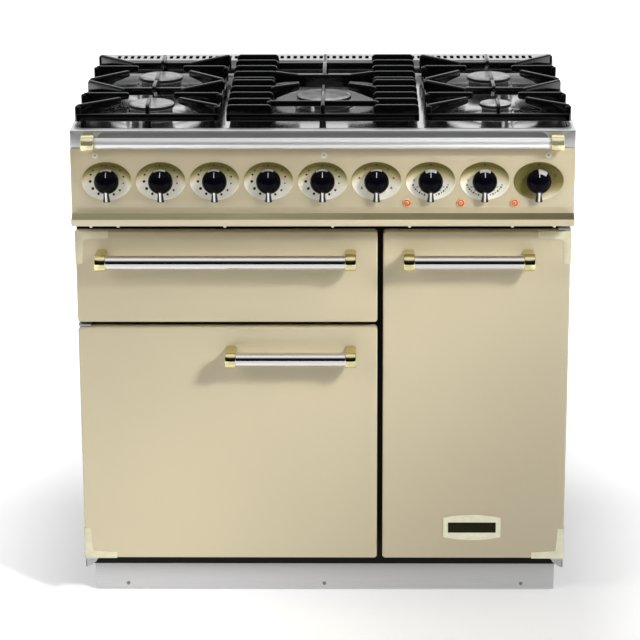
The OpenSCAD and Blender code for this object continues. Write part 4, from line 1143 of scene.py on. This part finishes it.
# ------------------------------------------------------------------ plinth
def plinth():
    g = Mesh()
    g.box((-435, -223, 3), (435, -221.5, 55))
    g.box((-435, -222, 53.5), (435, -204, 55))
    g.box((-435, -222, 3), (-433.5, -204, 54))
    g.box((433.5, -222, 3), (435, -204, 54))
    g.make("plinth_cover", "cooker_body", "plinth", "stainless", 30, bevel=0.4, segs=2, replaces=["plinth"])
plinth()

# ------------------------------------------------------------------ stage: floor, lights, world
fm, nt, b = new_mat("stage_floor")
v = coords(nt)
lk(nt, ramp(nt, noise(nt, v, 2, 2), [(0.3, (0.90, 0.90, 0.90)), (0.7, (0.92, 0.92, 0.92))]), b.inputs["Base Color"])
lk(nt, maprange(nt, noise(nt, v, 30, 2), 0.6, 0.7), b.inputs["Roughness"])
b.inputs["Specular IOR Level"].default_value = 0.2
b.inputs["Emission Color"].default_value = (1, 1, 1, 1)
tc = nt.nodes.new("ShaderNodeTexCoord")
sp = nt.nodes.new("ShaderNodeSeparateXYZ")
lk(nt, tc.outputs["Object"], sp.inputs[0])
ab = nt.nodes.new("ShaderNodeMath")
ab.operation = "ABSOLUTE"
lk(nt, sp.outputs["X"], ab.inputs[0])
ad = nt.nodes.new("ShaderNodeMath")
ad.operation = "ADD"
lk(nt, maprange(nt, sp.outputs["Y"], 0.41, 1.1, 0.2, 1.4), ad.inputs[0])
lk(nt, maprange(nt, ab.outputs[0], 0.0, 0.5, 0.47, 0.80), ad.inputs[1])
lk(nt, ad.outputs[0], b.inputs["Emission Strength"])
me = bpy.data.meshes.new("floor")
me.from_pydata([(-40, -2.8, 0), (40, -2.8, 0), (40, 40, 0), (-40, 40, 0)], [], [(0, 1, 2, 3)])
floor = bpy.data.objects.new("floor", me)
me.materials.append(fm)
bpy.context.scene.collection.objects.link(floor)

def area(name, loc, target, sx, sy, radiance, col=(1, 1, 1)):
    """Soft rectangular light of that radiance."""
    l = bpy.data.lights.new(name, "AREA")
    l.shape = "RECTANGLE"
    l.size, l.size_y = sx, sy
    l.energy = radiance * math.pi * sx * sy
    l.color = col
    o = bpy.data.objects.new(name, l)
    o.location = loc
    o.rotation_mode = "QUATERNION"
    o.rotation_quaternion = (Vector(target) - Vector(loc)).to_track_quat("-Z", "Y")
    bpy.context.scene.collection.objects.link(o)
    return o

def around(name, az, el, radiance, size=0.9, dist=2.6):
    """Square light on a sphere about the front of the object: az degrees to the right, el degrees up."""
    a, e = rad(az), rad(el)
    c = Vector((0, -0.3, 0.5))
    o = area(name, c + dist * Vector((math.sin(a) * math.cos(e), -math.cos(a) * math.cos(e), math.sin(e))), c, size, size, radiance)
    o.visible_glossy = False
    return o

def pool(name, tx, tz, half, watts, shadow=True):
    """Wide soft spot from the right that lifts one part of the front a little."""
    l = bpy.data.lights.new(name, "SPOT")
    l.energy = watts
    l.spot_size = rad(2 * half)
    l.spot_blend = 1.0
    l.shadow_soft_size = 0.25
    l.use_shadow = shadow
    o = bpy.data.objects.new(name, l)
    o.location = (1.831, -2.131, 2.331)
    o.rotation_mode = "QUATERNION"
    o.rotation_quaternion = (Vector((tx, -0.271, tz)) - Vector(o.location)).to_track_quat("-Z", "Y")
    o.visible_glossy = False
    bpy.context.scene.collection.objects.link(o)
    return o

around("key_left", -50, 30, 6.2)
around("key_right", 50, 30, 4.4)
around("key_high", 58, 40, 3.2)
pool("pool_a", -0.42, 0.10, 7, 299)
pool("pool_b", -0.28, 0.10, 7, 80)
pool("pool_c", -0.42, 0.55, 10, 30)
pool("pool_d", -0.42, 0.82, 7, 78, False)
pool("pool_e", 0.28, 0.70, 7, 209)
pool("pool_f", 0.28, 0.84, 7, 60, False)
pool("pool_g", 0.42, 0.70, 7, 26)

def world_studio():
    """Studio surround: bright above and behind, dim low in front; plain white where the camera looks past the object."""
    w = bpy.data.worlds.new("studio")
    bpy.context.scene.world = w
    w.use_nodes = True
    wn = w.node_tree
    wn.nodes.clear()
    tc = wn.nodes.new("ShaderNodeTexCoord")
    sp = wn.nodes.new("ShaderNodeSeparateXYZ")
    wn.links.new(tc.outputs["Generated"], sp.inputs[0])
    def mr(src, a, b, lo, hi):
        r = wn.nodes.new("ShaderNodeMapRange")
        r.interpolation_type = "SMOOTHSTEP"
        r.inputs["From Min"].default_value, r.inputs["From Max"].default_value = a, b
        r.inputs["To Min"].default_value, r.inputs["To Max"].default_value = lo, hi
        wn.links.new(src, r.inputs["Value"])
        return r.outputs["Result"]
    def math_(op, a, b):
        n = wn.nodes.new("ShaderNodeMath")
        n.operation = op
        for k, q in enumerate((a, b)):
            if isinstance(q, float):
                n.inputs[k].default_value = q
            else:
                wn.links.new(q, n.inputs[k])
        return n.outputs[0]
    # the ceiling is dimmer towards the back
    top = math_("MULTIPLY", mr(sp.outputs["Z"], 0.50, 0.85, 0.0, 1.0), mr(sp.outputs["Y"], -0.25, 0.12, 1.0, 0.25))
    side = mr(sp.outputs["Y"], -0.75, 0.10, 0.0, 1.0)
    back = mr(sp.outputs["Y"], 0.10, 0.50, 0.0, 1.0)
    above = mr(sp.outputs["Z"], -0.02, 0.10, 0.0, 1.0)
    def total(t, s_, b_, f):
        low = math_("MULTIPLY", math_("ADD", math_("ADD", math_("MULTIPLY", side, s_), math_("MULTIPLY", back, b_)), f), above)
        return math_("ADD", math_("MULTIPLY", top, t), low)
    lp = wn.nodes.new("ShaderNodeLightPath")
    # mirror-like paths see the bright ceiling and back wall, diffuse ones a dimmer room
    gl = lp.outputs["Is Glossy Ray"]
    rad_ = math_("ADD", math_("MULTIPLY", gl, total(0.85, 0.25, 0.78, 0.01)), math_("MULTIPLY", math_("SUBTRACT", 1.0, gl), total(0.12, 0.1, 0.1, 0.01)))
    bg1 = wn.nodes.new("ShaderNodeBackground")
    bg1.inputs["Color"].default_value = (1, 1, 1, 1)
    wn.links.new(rad_, bg1.inputs["Strength"])
    bg2 = wn.nodes.new("ShaderNodeBackground")
    bg2.inputs["Color"].default_value = (1, 1, 1, 1)
    mix = wn.nodes.new("ShaderNodeMixShader")
    wn.links.new(lp.outputs["Is Camera Ray"], mix.inputs[0])
    wn.links.new(bg1.outputs[0], mix.inputs[1])
    wn.links.new(bg2.outputs[0], mix.inputs[2])
    out = wn.nodes.new("ShaderNodeOutputWorld")
    wn.links.new(mix.outputs[0], out.inputs[0])
world_studio()

sc = bpy.context.scene
sc.view_settings.view_transform = "Standard"
sc.view_settings.look = "None"
sc.view_settings.exposure = 0.0
